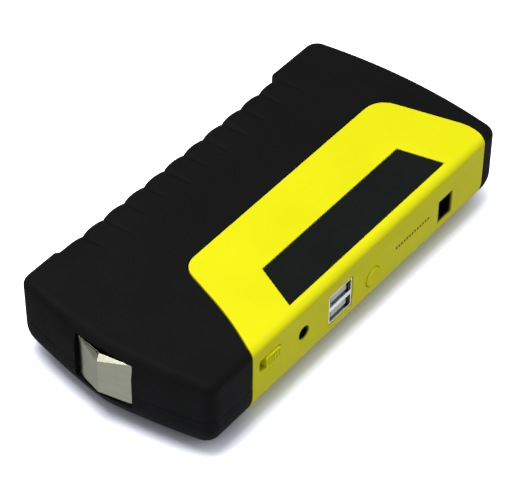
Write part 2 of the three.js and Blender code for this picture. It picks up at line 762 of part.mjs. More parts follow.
function portOpenings() {
  const [from, to] = [SIDE - 2, SIDE_INNER + 2];
  const usbZ = BOARD_SEAT + USB_HEIGHT / 2;
  const cuts = [
    alongY(rectangle(USB_X, usbZ, USB_WIDTH + 2 * GAP, USB_HEIGHT + 2 * GAP), from, to),
    alongY(disc(INLET_X, INLET_Z, INLET_HOLE), from, to, 9),
    alongY(rectangle(OUTLET_X, OUTLET_Z, OUTLET_WIDTH + 2 * GAP, OUTLET_HEIGHT + 2 * GAP), from, to),
    alongY(disc(BUTTON_X, BUTTON_Z, BUTTON_RADIUS + GAP), from, to, 16),
    alongY(selectorSlot(), from, to, 3),
  ];
  for (let k = 0; k < DOTS; k++) {
    const x = DOTS_X + (k - (DOTS - 1) / 2) * DOT_PITCH;
    cuts.push(alongY(rectangle(x, DOTS_Z, DOT_SIZE, DOT_SIZE), from, to));
  }
  return cuts;
}

// The label plate's outline, smaller or larger by the same distance all round.
function labelOutline(grow) {
  const corners = [
    [LABEL_BACK_ENDS[1], LABEL_BACK, 0],
    [LABEL_BACK_ENDS[0], LABEL_BACK, 0],
    [LABEL_FRONT_ENDS[0], LABEL_FRONT, 0],
    [LABEL_FRONT_ENDS[1], LABEL_FRONT, 0],
  ];
  return roundedPolygon(growPolygon(corners, grow));
}

function portCover() {
  let cover = skin.intersect(coverPrism(0));
  for (const cut of portOpenings()) cover = cover.subtract(cut);
  const recess = LABEL_THICK + GAP;
  cover = cover.subtract(upright(labelOutline(GAP), HEIGHT - recess, HEIGHT + 1));
  const standoffTop = BOARD_TOP - BOARD_THICK - GAP;
  for (const [x, y] of BOARD_SCREW_PLACES) {
    const standoff = upright(disc(x, y, STANDOFF_RADIUS), -1, standoffTop, 6);
    cover = cover.add(standoff.intersect(casing(WALL - FUSE)));
    const pilotFoot = BOARD_SEAT - BOARD_SCREW_LENGTH - 1;
    const pilot = upright(disc(x, y, BOARD_SCREW_RADIUS + GAP), pilotFoot, HEIGHT / 2, 5);
    cover = cover.subtract(pilot);
  }
  return cover;
}

function usbPorts() {
  const [low, high] = [BOARD_SEAT, BOARD_SEAT + USB_HEIGHT];
  const inset = USB_SHEET + USB_PORT_HEIGHT / 2;
  return [low + inset, high - inset];
}

function usbShell() {
  const front = SIDE + USB_RECESS;
  const z = BOARD_SEAT + USB_HEIGHT / 2;
  let shell = alongY(rectangle(USB_X, z, USB_WIDTH, USB_HEIGHT, 0.8), front, front + USB_DEPTH, 2);
  const portWidth = USB_WIDTH - 2 * USB_SHEET;
  for (const portZ of usbPorts()) {
    const port = rectangle(USB_X, portZ, portWidth, USB_PORT_HEIGHT);
    shell = shell.subtract(alongY(port, front - 1, front + USB_DEPTH + 1));
  }
  // Open at the back over both ports, where the core fills it
  const back = rectangle(USB_X, z, portWidth, USB_HEIGHT - 2 * USB_SHEET);
  return shell.subtract(alongY(back, front + USB_DEPTH - USB_BACK, front + USB_DEPTH + 1));
}

function usbCore() {
  const front = SIDE + USB_RECESS;
  const back = front + USB_DEPTH;
  const z = BOARD_SEAT + USB_HEIGHT / 2;
  const width = USB_WIDTH - 2 * USB_SHEET - 2 * GAP;
  const height = USB_HEIGHT - 2 * USB_SHEET - 2 * GAP;
  let core = alongY(rectangle(USB_X, z, width, height), back - USB_BACK + GAP, back);
  for (const portZ of usbPorts()) {
    const root = rectangle(USB_X, portZ, width, USB_PORT_HEIGHT - 2 * GAP);
    core = core.add(alongY(root, back - USB_BACK - 3, back - 1));
    const tongueZ = portZ + USB_PORT_HEIGHT / 2 - GAP - 0.6 - USB_TONGUE / 2;
    const tongue = rectangle(USB_X, tongueZ, width - 1, USB_TONGUE);
    core = core.add(alongY(tongue, front + USB_TONGUE_RECESS, back - 1));
  }
  return core;
}

function inletJack() {
  const front = FLANGE_FRONT;
  const top = INLET_Z + INLET_WIDTH / 2;
  const middle = (BOARD_SEAT + top) / 2;
  const body = rectangle(INLET_X, middle, INLET_WIDTH, top - BOARD_SEAT, 0.8);
  const bore = alongY(disc(INLET_X, INLET_Z, INLET_BORE), front - 1, front + INLET_DEPTH - 2, 9);
  return alongY(body, front, front + INLET_DEPTH, 2).subtract(bore);
}

function inletPin() {
  const front = FLANGE_FRONT;
  const tip = front + INLET_PIN_RECESS;
  return alongY(disc(INLET_X, INLET_Z, INLET_PIN), tip, front + INLET_DEPTH - 2 - GAP, 6);
}

function outletJack() {
  const front = SIDE + OUTLET_RIM / 2;
  const well = rectangle(
    OUTLET_X,
    OUTLET_Z,
    OUTLET_WIDTH - 2 * OUTLET_RIM,
    OUTLET_HEIGHT - 2 * OUTLET_RIM,
    0.5,
  );
  const bore = disc(OUTLET_X, OUTLET_Z, OUTLET_BORE);
  return alongY(rectangle(OUTLET_X, OUTLET_Z, OUTLET_WIDTH, OUTLET_HEIGHT, 0.5), front, front + OUTLET_DEPTH, 2)
    .subtract(alongY(well, front - 1, front + OUTLET_WELL, 2))
    .subtract(alongY(bore, front, front + OUTLET_DEPTH - 2, 8));
}

function outletPin() {
  const front = SIDE + OUTLET_RIM / 2;
  const pin = disc(OUTLET_X, OUTLET_Z, OUTLET_PIN);
  return alongY(pin, front + OUTLET_WELL, front + OUTLET_DEPTH - 2 - GAP, 5);
}

// The button is turned about its own axis, which points out of the side.
function powerButton() {
  const flangeFront = -(WALL + GAP);
  const profile = [
    [0, flangeFront - FLANGE_THICK - 2],
    [STEM_RADIUS, flangeFront - FLANGE_THICK - 2],
    [STEM_RADIUS, flangeFront - FLANGE_THICK],
    [BUTTON_RADIUS + BUTTON_FLANGE, flangeFront - FLANGE_THICK],
    [BUTTON_RADIUS + BUTTON_FLANGE, flangeFront],
    [BUTTON_RADIUS, flangeFront],
    [BUTTON_RADIUS, BUTTON_PROUD * 0.3],
    [BUTTON_RADIUS - 0.7, BUTTON_PROUD],
    [BUTTON_RADIUS - 1.6, BUTTON_PROUD * 0.75],
    [0, BUTTON_PROUD * 0.55],
  ];
  // The flange is cut flat below, where the side begins to round under
  const flat = upright(rectangle(0, GAP - BUTTON_RADIUS - 5, 20, 10), flangeFront - 5, flangeFront + 0.1);
  return revolve(profile, 22).subtract(flat);
}

const BUTTON_BACK = WALL + GAP + FLANGE_THICK + 2; // depth of the stem's end below the side
const PLUNGER_FRONT = SIDE + BUTTON_BACK + GAP;
const SWITCH_FRONT = PLUNGER_FRONT + BUTTON_TRAVEL + GAP;

function powerPlunger() {
  const plunger = disc(BUTTON_X, BUTTON_Z, PLUNGER_RADIUS);
  return alongY(plunger, PLUNGER_FRONT, SWITCH_FRONT + 1.5, 6);
}

function powerSwitch() {
  const low = BOARD_SEAT;
  const high = BUTTON_Z + SWITCH_SIZE / 2;
  const body = rectangle(BUTTON_X, (low + high) / 2, SWITCH_SIZE, high - low, 0.4);
  const bore = disc(BUTTON_X, BUTTON_Z, PLUNGER_RADIUS + GAP);
  const boreEnd = SWITCH_FRONT + 1.5 + BUTTON_TRAVEL + GAP;
  return alongY(body, SWITCH_FRONT, SWITCH_FRONT + SWITCH_DEPTH, 2).subtract(
    alongY(bore, SWITCH_FRONT - 1, boreEnd, 6),
  );
}

function selectorKnob() {
  const thumb = rectangle(SELECTOR_X, SELECTOR_Z, SELECTOR_WIDTH, SELECTOR_HEIGHT, 1);
  const flangeHeight = SELECTOR_HEIGHT + 2 * SELECTOR_FLANGE;
  const flange = rectangle(SELECTOR_X, SELECTOR_Z, SELECTOR_WIDTH, flangeHeight, 0.5);
  const stem = rectangle(SELECTOR_X, SELECTOR_Z, 2.4, 2.4);
  const back = FLANGE_FRONT + FLANGE_THICK;
  let knob = alongY(thumb, SIDE - SELECTOR_PROUD, FLANGE_FRONT + FLANGE_THICK / 2, 3)
    .add(alongY(flange, FLANGE_FRONT, back, 2))
    .add(alongY(stem, back - FLANGE_THICK / 2, back + 3));
  // Grip grooves across the thumb face
  for (const step of [-2, -1, 0, 1, 2]) {
    const groove = rectangle(SELECTOR_X + step * 1.3, SELECTOR_Z, 0.5, SELECTOR_HEIGHT - 1);
    knob = knob.subtract(alongY(groove, SIDE - SELECTOR_PROUD - 1, SIDE - SELECTOR_PROUD + 0.3));
  }
  return knob;
}

function selectorSwitch() {
  const [width, depth] = SELECTOR_BODY;
  const front = FLANGE_FRONT + FLANGE_THICK + 2 * GAP;
  const top = SELECTOR_Z + 3;
  const middle = SELECTOR_X - SELECTOR_TRAVEL / 2;
  const body = rectangle(middle, (BOARD_SEAT + top) / 2, width, top - BOARD_SEAT, 0.4);
  const slot = rectangle(middle, SELECTOR_Z, 2.4 + SELECTOR_TRAVEL + 2 * GAP, 2.4 + 2 * GAP);
  return alongY(body, front, front + depth, 2).subtract(alongY(slot, front - 1, front + 3));
}

function lightPipe() {
  const front = FLANGE_FRONT;
  const width = (DOTS - 1) * DOT_PITCH + DOT_SIZE + 2;
  let pipe = alongY(rectangle(DOTS_X, DOTS_Z, width, PIPE_HEIGHT), front, front + PIPE_DEPTH);
  for (const side of [-1, 1]) {
    const legX = DOTS_X + side * (width / 2 - PIPE_LEG / 2);
    const leg = rectangle(legX, (BOARD_SEAT + DOTS_Z) / 2, PIPE_LEG, DOTS_Z - BOARD_SEAT);
    pipe = pipe.add(alongY(leg, front + 1, front + PIPE_DEPTH));
  }
  return pipe;
}

// ---------------------------------------------------------------- nose

function hammerSides() {
  const lean = NOSE_POINT * (HAMMER_HALF_WIDTH / (WIDTH / 2)) ** NOSE_CURVE;
  return -LENGTH / 2 + lean + HAMMER_SUNK;
}

function hammerFlangeFront() {
  const reach = HAMMER_HALF_WIDTH + HAMMER_FLANGE;
  return -LENGTH / 2 + LINING + GAP + NOSE_POINT * (reach / (WIDTH / 2)) ** NOSE_CURVE;
}

function hammerFlangeBack() {
  return hammerFlangeFront() + HAMMER_FLANGE_THICK;
}

// The steel head: a vertical ridge between two ground faces, bevelled above and cut under below.
function hammerHead() {
  const sides = hammerSides();
  const ridge = sides - HAMMER_POINT;
  const point = (x, y, z) => new THREE.Vector3(x, y, z);
  const corners = [];
  for (const y of [-HAMMER_HALF_WIDTH, HAMMER_HALF_WIDTH]) {
    corners.push(point(sides, y, HAMMER_BASE));
    corners.push(point(sides, y, HAMMER_TOP));
  }
  corners.push(point(ridge, 0, HAMMER_BASE + HAMMER_BEVEL));
  corners.push(point(ridge, 0, HAMMER_TOP - HAMMER_BEVEL));
  corners.push(point(ridge + HAMMER_APEX, 0, HAMMER_TOP + HAMMER_CROWN));
  const wedge = solid(new ConvexGeometry(corners));
  const middle = (HAMMER_BASE + HAMMER_TOP) / 2;
  const height = HAMMER_TOP - HAMMER_BASE;
  const neck = alongX(
    rectangle(0, middle, 2 * HAMMER_HALF_WIDTH, height),
    sides - 0.01,
    hammerFlangeFront() + 1,
  );
  const flange = alongX(
    rectangle(0, middle - 1.4, 2 * (HAMMER_HALF_WIDTH + HAMMER_FLANGE), height + 1.6, 1),
    hammerFlangeFront(),
    hammerFlangeBack(),
    2,
  );
  return wedge.add(neck).add(flange);
}

// ---------------------------------------------------------------- far end: lamp and jump socket

function lampLens() {
  const inside = casing(WALL + GAP + LENS_RIM_THICK);
  const face = casing(GAP).intersect(lampRegion(-GAP));
  const rim = casing(WALL + GAP).intersect(lampRegion(LENS_RIM));
  return face.add(rim).subtract(inside);
}

const LENS_EDGE = farFace(Math.abs(LAMP_Y) + LAMP_WIDTH / 2 + LENS_RIM);
const LENS_BACK = LENS_EDGE - WALL - GAP - LENS_RIM_THICK;
const REFLECTOR_FRONT = LENS_BACK - GAP;

function ledPlaces() {
  return Array.from({ length: LAMP_LEDS }, (_, k) => LAMP_Y + (k - (LAMP_LEDS - 1) / 2) * LED_PITCH);
}

function lampReflector() {
  const back = REFLECTOR_FRONT - REFLECTOR_DEPTH;
  const frame = rectangle(LAMP_Y, LAMP_Z, LAMP_WIDTH - 1, LAMP_HEIGHT - 1, 2);
  let block = alongX(frame, back, REFLECTOR_FRONT, 3);
  for (const y of ledPlaces()) {
    const cup = revolve(
      [
        [0, -1],
        [LED_RADIUS + GAP, -1],
        [LED_RADIUS + GAP, 1],
        [CUP_RADIUS * 0.8, REFLECTOR_DEPTH * 0.55],
        [CUP_RADIUS, REFLECTOR_DEPTH + 1],
        [0, REFLECTOR_DEPTH + 1],
      ],
      12,
    );
    block = block.subtract(turned(cup, back, y, LAMP_Z));
  }
  return block;
}

// A turned body laid along +X with its foot at a place.
function turned(body, x, y, z) {
  const geometry = geometryOf(body).rotateY(Math.PI / 2).translate(x, y, z);
  return solid(geometry);
}

function lampLed() {
  return revolve(
    [
      [0, 0],
      [LED_RADIUS, 0],
      [LED_RADIUS, LED_HEIGHT * 0.45],
      [LED_RADIUS * 0.75, LED_HEIGHT * 0.85],
      [0, LED_HEIGHT],
    ],
    10,
  );
}

function lampBoard() {
  const back = REFLECTOR_FRONT - REFLECTOR_DEPTH - GAP - LAMP_BOARD_THICK;
  return alongX(rectangle(LAMP_Y, LAMP_Z, LAMP_WIDTH - 1, LAMP_HEIGHT - 1), back, back + LAMP_BOARD_THICK);
}

const SOCKET_FRONT = farFace(Math.max(SOCKET_Y + SOCKET_WIDTH / 2, 0)) - DOOR_THICK - GAP - 0.5;
const SOCKET_REAR = SOCKET_FRONT - SOCKET_DEPTH;

function jumpSocket() {
  const hollow = rectangle(
    SOCKET_Y,
    SOCKET_Z,
    SOCKET_WIDTH - 2 * SOCKET_WALL,
    SOCKET_HEIGHT - 2 * SOCKET_WALL,
    1,
  );
  let body = alongX(rectangle(SOCKET_Y, SOCKET_Z, SOCKET_WIDTH, SOCKET_HEIGHT, 2), SOCKET_REAR, SOCKET_FRONT, 3);
  body = body.subtract(alongX(hollow, SOCKET_REAR + SOCKET_FLOOR, SOCKET_FRONT + 1, 2));
  for (const side of [-1, 1]) {
    const hole = disc(SOCKET_Y + (side * CONTACT_PITCH) / 2, SOCKET_Z, CONTACT_RADIUS + GAP);
    body = body.subtract(alongX(hole, SOCKET_REAR - 1, SOCKET_FRONT, 8));
  }
  return body;
}

// A contact: a tube at the front, solid through the socket's floor, with a tail for its lead.
function jumpContact() {
  const length = SOCKET_DEPTH - CONTACT_RECESS + CONTACT_TAIL;
  return revolve(
    [
      [0, 0],
      [CONTACT_RADIUS, 0],
      [CONTACT_RADIUS, length],
      [CONTACT_BORE, length],
      [CONTACT_BORE, length - 7],
      [0, length - 8],
    ],
    14,
  );
}

function jumpDoor() {
  const leaf = outer.subtract(casing(DOOR_THICK)).intersect(doorRegion(0));
  const kept = upright(
    rectangle(LENGTH / 2, HINGE_Y - DOOR_WIDTH, 40, 2 * DOOR_WIDTH),
    0,
    HEIGHT,
  );
  const knuckle = hingeRod(HINGE_KNUCKLE, 0);
  const plugWidth = SOCKET_WIDTH - 2 * SOCKET_WALL - 1.6;
  const plugHeight = SOCKET_HEIGHT - 2 * SOCKET_WALL - 1.2;
  const plugFoot = farFace(SOCKET_Y + plugWidth / 2) - DOOR_THICK;
  const plugTip = SOCKET_FRONT - DOOR_PLUG;
  const plug = alongX(rectangle(SOCKET_Y, SOCKET_Z, plugWidth, plugHeight, 1.5), plugTip, LENGTH / 2, 3)
    .subtract(
      alongX(
        rectangle(
          SOCKET_Y,
          SOCKET_Z,
          plugWidth - 2 * DOOR_PLUG_WALL,
          plugHeight - 2 * DOOR_PLUG_WALL,
          0.8,
        ),
        plugTip - 1,
        plugFoot + 0.2,
        2,
      ),
    )
    .intersect(casing(DOOR_THICK / 2));
  return leaf
    .intersect(kept)
    .add(knuckle)
    .add(plug)
    .subtract(hingeRod(HINGE_PIN + GAP, 1));
}

function doorPin() {
  return hingeRod(HINGE_PIN, HINGE_REACH - GAP);
}

// ---------------------------------------------------------------- board and what it carries

function mainBoard() {
  const [near, far] = BOARD_ENDS;
  const outline = rectangle(
    (near + far) / 2,
    (BOARD_FRONT + BOARD_BACK) / 2,
    far - near,
    BOARD_DEPTH,
    2,
  );
  let board = upright(outline, BOARD_TOP - BOARD_THICK, BOARD_TOP, 3);
  for (const [x, y] of BOARD_SCREW_PLACES) {
    board = board.subtract(upright(disc(x, y, BOARD_SCREW_RADIUS + GAP), 0, HEIGHT, 6));
  }
  return board;
}

function boardScrew() {
  return revolve(
    [
      [0, -BOARD_SCREW_LENGTH],
      [BOARD_SCREW_RADIUS, 1 - BOARD_SCREW_LENGTH],
      [BOARD_SCREW_RADIUS, 0],
      [BOARD_SCREW_HEAD, 0],
      [BOARD_SCREW_HEAD * 0.85, 1],
      [0, 1.2],
    ],
    8,
  );
}

function drum(radius, height, waist) {
  const flange = height * 0.16;
  return revolve(
    [
      [0, 0],
      [radius, 0],
      [radius, flange],
      [radius - waist, flange],
      [radius - waist, height - flange],
      [radius, height - flange],
      [radius, height],
      [0, height],
    ],
    16,
  );
}

function capacitor(radius, height) {
  return revolve(
    [
      [0, 0],
      [radius - 0.3, 0],
      [radius - 0.3, 1],
      [radius, 1.4],
      [radius, height - 0.4],
      [radius - 0.4, height],
      [0, height],
    ],
    12,
  );
}

// A power transistor lying flat: its moulded body and its metal tab.
function transistor() {
  const body = rectangle(0, 0, MOSFET_WIDTH, MOSFET_DEPTH);
  const tab = rectangle(0, -MOSFET_DEPTH * 0.13, MOSFET_WIDTH * 0.82, MOSFET_DEPTH * 1.43);
  return upright(body, 0, MOSFET_HEIGHT).add(upright(tab, 0, MOSFET_HEIGHT * 0.26));
}

function chip() {
  return upright(rectangle(0, 0, CHIP_SIZE, CHIP_SIZE, 0.4), 0, CHIP_HEIGHT, 2);
}

// ---------------------------------------------------------------- cells

// How far the rounded base reaches in at a height inside the casing.
function baseInset(z) {
  const radius = BASE_ROUND - WALL;
  const drop = Math.max(BASE_ROUND - z, 0);
  return radius - Math.sqrt(Math.max(radius ** 2 - drop ** 2, 0));
}

const STACK_LOW = LINING + GAP + 0.3;
const STACK_HIGH = HEIGHT - LINING - GAP;
const CELL_STEP = (STACK_HIGH - STACK_LOW + GAP) / CELLS;
const CELL_THICK = CELL_STEP - GAP;
const BAY_LOW = BOARD_BACK + BAY_CLEARANCE;
const BAY_HIGH = WIDTH / 2 - GRIP_DEEPEST - WALL - baseInset(STACK_LOW + CELL_EDGE) - BAY_CLEARANCE / 2;
const BAY_MIDDLE = (BAY_LOW + BAY_HIGH) / 2;
const TAB_OFFSET = 0.236 * (BAY_HIGH - BAY_LOW);
const TAB_END = CELL_ENDS[1] + TERRACE + TAB_REACH;

function cellHeight(k) {
  return STACK_LOW + k * CELL_STEP + CELL_THICK / 2;
}

// A pouch cell about its own middle height: the pouch, its sealed edge and two tabs.
function cell() {
  const [near, far] = CELL_ENDS;
  const middle = (near + far) / 2;
  const width = BAY_HIGH - BAY_LOW;
  const geometry = new THREE.ExtrudeGeometry(
    rectangle(middle, BAY_MIDDLE, far - near - 2 * CELL_EDGE, width - 2 * CELL_EDGE, CELL_CORNER),
    {
      depth: CELL_THICK - 2 * CELL_EDGE,
      bevelEnabled: true,
      bevelThickness: CELL_EDGE,
      bevelSize: CELL_EDGE,
      bevelSegments: 1,
      curveSegments: 2,
    },
  ).translate(0, 0, -CELL_THICK / 2 + CELL_EDGE);
  const edge = rectangle(far + TERRACE / 2 - 1, BAY_MIDDLE, TERRACE + 2, width - 2 * CELL_CORNER);
  let body = solid(geometry).add(upright(edge, -TERRACE_THICK / 2, TERRACE_THICK / 2));
  for (const side of [-1, 1]) {
    const tab = rectangle(
      far + TERRACE + TAB_REACH / 2 - 0.5,
      BAY_MIDDLE + side * TAB_OFFSET,
      TAB_REACH + 1,
      TAB_WIDTH,
    );
    body = body.add(upright(tab, -TAB_THICK / 2, TAB_THICK / 2));
  }
  return body;
}

// A strip welded across the tabs of two neighbouring cells.
function cellLink(k) {
  const y = BAY_MIDDLE + (k % 2 === 0 ? -1 : 1) * TAB_OFFSET;
  const [low, high] = [cellHeight(k) - 1.5, cellHeight(k + 1) + 1.5];
  return alongX(
    rectangle(y, (low + high) / 2, TAB_WIDTH - 1, high - low, 1),
    TAB_END + GAP,
    TAB_END + GAP + LINK_THICK,
    2,
  );
}

// A heavy lead from a cell's free tab to a contact of the jump socket.
function lead(k, side) {
  const contactRear = SOCKET_REAR - CONTACT_TAIL - GAP;
  const start = new THREE.Vector3(TAB_END + GAP, BAY_MIDDLE + TAB_OFFSET, cellHeight(k));
  const end = new THREE.Vector3(contactRear, SOCKET_Y + (side * CONTACT_PITCH) / 2, SOCKET_Z);
  const reach = (end.x - start.x) * 0.62;
  const path = new THREE.CubicBezierCurve3(
    start,
    start.clone().add(new THREE.Vector3(reach, 0, 0)),
    end.clone().sub(new THREE.Vector3(reach, 0, 0)),
    end,
  );
  const section = new THREE.Shape().absarc(0, 0, LEAD_RADIUS, 0, 2 * Math.PI);
  return new THREE.ExtrudeGeometry(section, {
    extrudePath: path,
    steps: 10,
    curveSegments: 4,
    bevelEnabled: false,
  });
}

function foamPad() {
  const [near, far] = CELL_ENDS;
  const low = COVER_TOP_EDGE + LEDGE_OUT + GAP + 1;
  const outline = rectangle((near + far) / 2, (low + BAY_HIGH) / 2, far - near - 12, BAY_HIGH - low - 2);
  const roof = HEIGHT - WALL - GAP;
  return upright(outline, STACK_HIGH + GAP, roof);
}

// ---------------------------------------------------------------- the whole pack

place("upper_shell", upperShell(), blackShell);
place("lower_shell", lowerShell(), blackShell);
place("port_cover", portCover(), yellowShell);
place("label_plate", upright(labelOutline(0), 0, LABEL_THICK), labelFilm, [0, 0, HEIGHT - LABEL_THICK]);
place("hammer_head", hammerHead(), steel);
SHELL_SCREW_PLACES.forEach(([x, y], k) => {
  const at = [x, y, SCREW_SEAT - SCREW_HEAD_HEIGHT - GAP];
  place(`shell_screw_${k + 1}`, shellScrew(), screwSteel, at);
});

place("usb_shell", usbShell(), tinPlate);
place("usb_insulator", usbCore(), whitePlastic);
place("dc_input_jack", inletJack(), blackPlastic);
place("dc_input_pin", inletPin(), tinPlate);
place("dc_output_jack", outletJack(), blackPlastic);
place("dc_output_pin", outletPin(), tinPlate);
place("indicator_light_pipe", lightPipe(), clearPlastic);

const button = new THREE.Group();
button.position.set(BUTTON_X, SIDE, BUTTON_Z);
button.rotation.x = Math.PI / 2; // the button's own axis points out of the side
pack.add(button);
place("power_button", powerButton(), yellowShell, [0, 0, 0], button);
place("power_plunger", powerPlunger(), whitePlastic);
place("power_switch", powerSwitch(), blackPlastic);
place("selector_knob", selectorKnob(), yellowShell);
place("selector_switch", selectorSwitch(), blackPlastic);

place("lamp_lens", lampLens(), clearPlastic);
place("lamp_reflector", lampReflector(), reflector);
place("lamp_board", lampBoard(), boardGreen);
ledPlaces().forEach((y, k) => {
  const led = new THREE.Group();
  led.position.set(REFLECTOR_FRONT - REFLECTOR_DEPTH, y, LAMP_Z);
  led.rotation.y = Math.PI / 2;
  pack.add(led);
  place(`lamp_led_${k + 1}`, lampLed(), ledYellow, [0, 0, 0], led);
});

place("jump_socket", jumpSocket(), bluePlastic);
[
  ["jump_contact_negative", -1],
  ["jump_contact_positive", 1],
].forEach(([name, side]) => {
  const contact = new THREE.Group();
  contact.position.set(SOCKET_REAR - CONTACT_TAIL, SOCKET_Y + (side * CONTACT_PITCH) / 2, SOCKET_Z);
  contact.rotation.y = Math.PI / 2;
  pack.add(contact);
  place(name, jumpContact(), brass, [0, 0, 0], contact);
});
place("jump_cover", jumpDoor(), rubber);
place("jump_cover_pin", doorPin(), screwSteel);

const board = new THREE.Group();
board.position.z = BOARD_SEAT;
pack.add(board);
place("main_board", mainBoard(), boardGreen);
const backRow = (depth) => BOARD_BACK - ROW_INSET - depth / 2;
const inductorPlace = [DOTS_X - 2, backRow(2 * INDUCTOR_RADIUS), 0];
place("boost_inductor", drum(INDUCTOR_RADIUS, INDUCTOR_HEIGHT, INDUCTOR_WAIST), ferrite, inductorPlace, board);
[1, 2].forEach((k) => {
  const can = capacitor(CAPACITOR_RADIUS, CAPACITOR_HEIGHT);
  const x = INLET_X + 1 + (k - 1) * (2 * CAPACITOR_RADIUS + 1.3);
  place(`filter_capacitor_${k}`, can, canSilver, [x, backRow(2 * CAPACITOR_RADIUS), 0], board);
});
[1, 2].forEach((k) => {
  const x = BUTTON_X - 0.5 + (k - 1) * (MOSFET_WIDTH + 2.4);
  place(`output_mosfet_${k}`, transistor(), blackPlastic, [x, backRow(2 * MOSFET_DEPTH), 0], board);
});
place("controller_chip", chip(), blackPlastic, [USB_X + 3.4, backRow(CHIP_SIZE), 0], board);
BOARD_SCREW_PLACES.forEach(([x, y], k) => {
  place(`board_screw_${k + 1}`, boardScrew(), screwSteel, [x, y, 0], board);
});

for (let k = 0; k < CELLS; k++) {
  place(`cell_${k + 1}`, cell(), pouchFoil, [0, 0, cellHeight(k)]);
}
for (let k = 0; k + 1 < CELLS; k++) place(`cell_link_${k + 1}`, cellLink(k), nickel);
place("foam_pad", foamPad(), foam);
place("lead_positive", lead(0, 1), redSleeve);
place("lead_negative", lead(CELLS - 1, -1), blackSleeve);

export default pack;
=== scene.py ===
"""The looks of the jump starter pack: smooth mouldings, finishes, a pale studio and the camera.

Shapes are written in millimetres in the part's own frame: +X from the nose to the lamp end,
-Y out of the port side, +Z up, with the base at z = 0. Blender objects are in metres.
"""

import json
import math

import bmesh
import bpy
from mathutils import Matrix, Vector
from mathutils.bvhtree import BVHTree


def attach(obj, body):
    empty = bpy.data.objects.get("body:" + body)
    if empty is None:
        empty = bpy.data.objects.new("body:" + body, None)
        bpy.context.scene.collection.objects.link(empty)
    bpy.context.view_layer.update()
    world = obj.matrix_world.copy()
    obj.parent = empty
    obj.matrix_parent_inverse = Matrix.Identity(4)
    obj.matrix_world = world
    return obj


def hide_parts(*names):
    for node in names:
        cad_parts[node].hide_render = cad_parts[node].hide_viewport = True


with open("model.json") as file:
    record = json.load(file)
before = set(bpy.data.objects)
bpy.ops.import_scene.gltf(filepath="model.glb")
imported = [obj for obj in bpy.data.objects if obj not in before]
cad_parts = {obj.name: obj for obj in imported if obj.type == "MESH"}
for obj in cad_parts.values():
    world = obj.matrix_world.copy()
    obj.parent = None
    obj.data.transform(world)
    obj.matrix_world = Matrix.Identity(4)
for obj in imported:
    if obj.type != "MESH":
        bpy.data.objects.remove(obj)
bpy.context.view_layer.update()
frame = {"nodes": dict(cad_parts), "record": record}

MM = 0.001

# ---- sizes, most of them shared with the CAD model

LENGTH, WIDTH, HEIGHT = 175, 83, 34.5
WALL, GAP, SEAM = 2.2, 0.3, 0.35
HAIRLINE = 0.12  # the joint between the black shells, as it shows
PARTING = HEIGHT / 2
SIDE = -WIDTH / 2

TOP_ROUND, BASE_ROUND = 3.2, 14
LEAST_TURN = 1.5  # the smallest rounding of a corner in plan, however far the form is moved in
CORNER_HANDLE = 0.55  # how far a corner's curve is drawn towards its tip
FAR_CORNER, NEAR_CORNER, CORNER_TAPER = 3.8, 4, 0.16
FAR_BOW = 4
NOSE_POINT, NOSE_POINT_TOP, NOSE_CURVE = 7.5, 5, 1.3
NOSE_RETREAT, NOSE_LEAN, NOSE_LEAN_POWER = 2.3, 10.5, 1.5

GRIP_START, GRIP_END = 26 - LENGTH / 2, LENGTH / 2 - 30.9
LOBES = 11
LOBE_PITCH = (GRIP_END - GRIP_START) / LOBES
GRIP_RECESS = (1.15, 2.3)  # crest of a lobe below the blocks, at the near end and the far one
LOBE_DEPTH = 1.0
LOBE_POWER = 2.2  # how sharp the groove between two lobes is
GRIP_RAMP_NEAR, GRIP_RAMP_FAR = 1.6, 1.7

COVER_EDGE = [  # x, y and rounding of each corner of the yellow cover in plan
    (69.4, 2, 8),
    (-41.3, 2, 6),
    (-51, -26, 11),
    (-58.8, -40.2, 3),
    (-58.8, -83, 0),
    (75.6, -83, 0),
    (75.6, -42, 3),
    (78.4, -34, 5),
]

FLUTE_REACH, FLUTE_DEPTH, FLUTE_FADE = 15, 1.15, 0.8
FLUTE_HALF_WIDTH, FLUTE_TAIL, FLUTE_LIFT = 2.6, 0.5, 0.03
LIP, LIP_ABOVE, LIP_BELOW = 1.2, 2.2, 1.8
LINING = WALL + GAP + LIP
LEDGE_IN, LEDGE_OUT = 1.8, 1.6
FUSE, POST_RADIUS = 0.4, 4
BELT = HEIGHT - NOSE_LEAN

# roundings of the edges
OUTER_EDGE, PARTING_EDGE, DOT_EDGE, LABEL_EDGE = 0.25, 0.05, 0.07, 0.08
PORT_EDGE, INLET_EDGE, OUTLET_EDGE, KNOB_EDGE = 0.12, 0.25, 0.15, 0.14
CROWN_EDGE, HAMMER_EDGE, SOCKET_EDGE, DOOR_EDGE, PIN_EDGE = 0.3, 0.16, 0.2, 0.3, 0.15

BOARD_SEAT = 13.5
USB_X, USB_WIDTH, USB_HEIGHT, USB_DEPTH = -10.2, 12.9, 12.9, 18.2
USB_RECESS, USB_SHEET, USB_CORNER = 0.3, 0.55, 0.8
USB_PORT_HEIGHT, USB_PORT_CORNER, USB_BACK, USB_ROOT = 4.9, 0.3, 5, 3
USB_TONGUE, USB_TONGUE_WIDTH, USB_TONGUE_RECESS, USB_TONGUE_DROP = 2.5, 8.8, 0.8, 0.3
# black blocks in the right side of each USB mouth, painted shade
USB_SHADE_BLOCK, USB_SHADE_BLOCK_RECESS = 1.3, 0.3
USB_STRIPS, USB_STRIP_PITCH, USB_STRIP_WIDTH, USB_STRIP_THICK = 4, 2, 1.1, 0.2
USB_STRIP_RECESS = 0.9
INLET_X, INLET_Z, INLET_HOLE, INLET_BORE = -31, 21.4, 2.8, 2.1
INLET_WIDTH, INLET_RISE, INLET_DEPTH, INLET_FLOOR = 9.6, 4.8, 14, 2
COLLAR = 0.5  # how far the inlet's black collar sits behind the cover's face
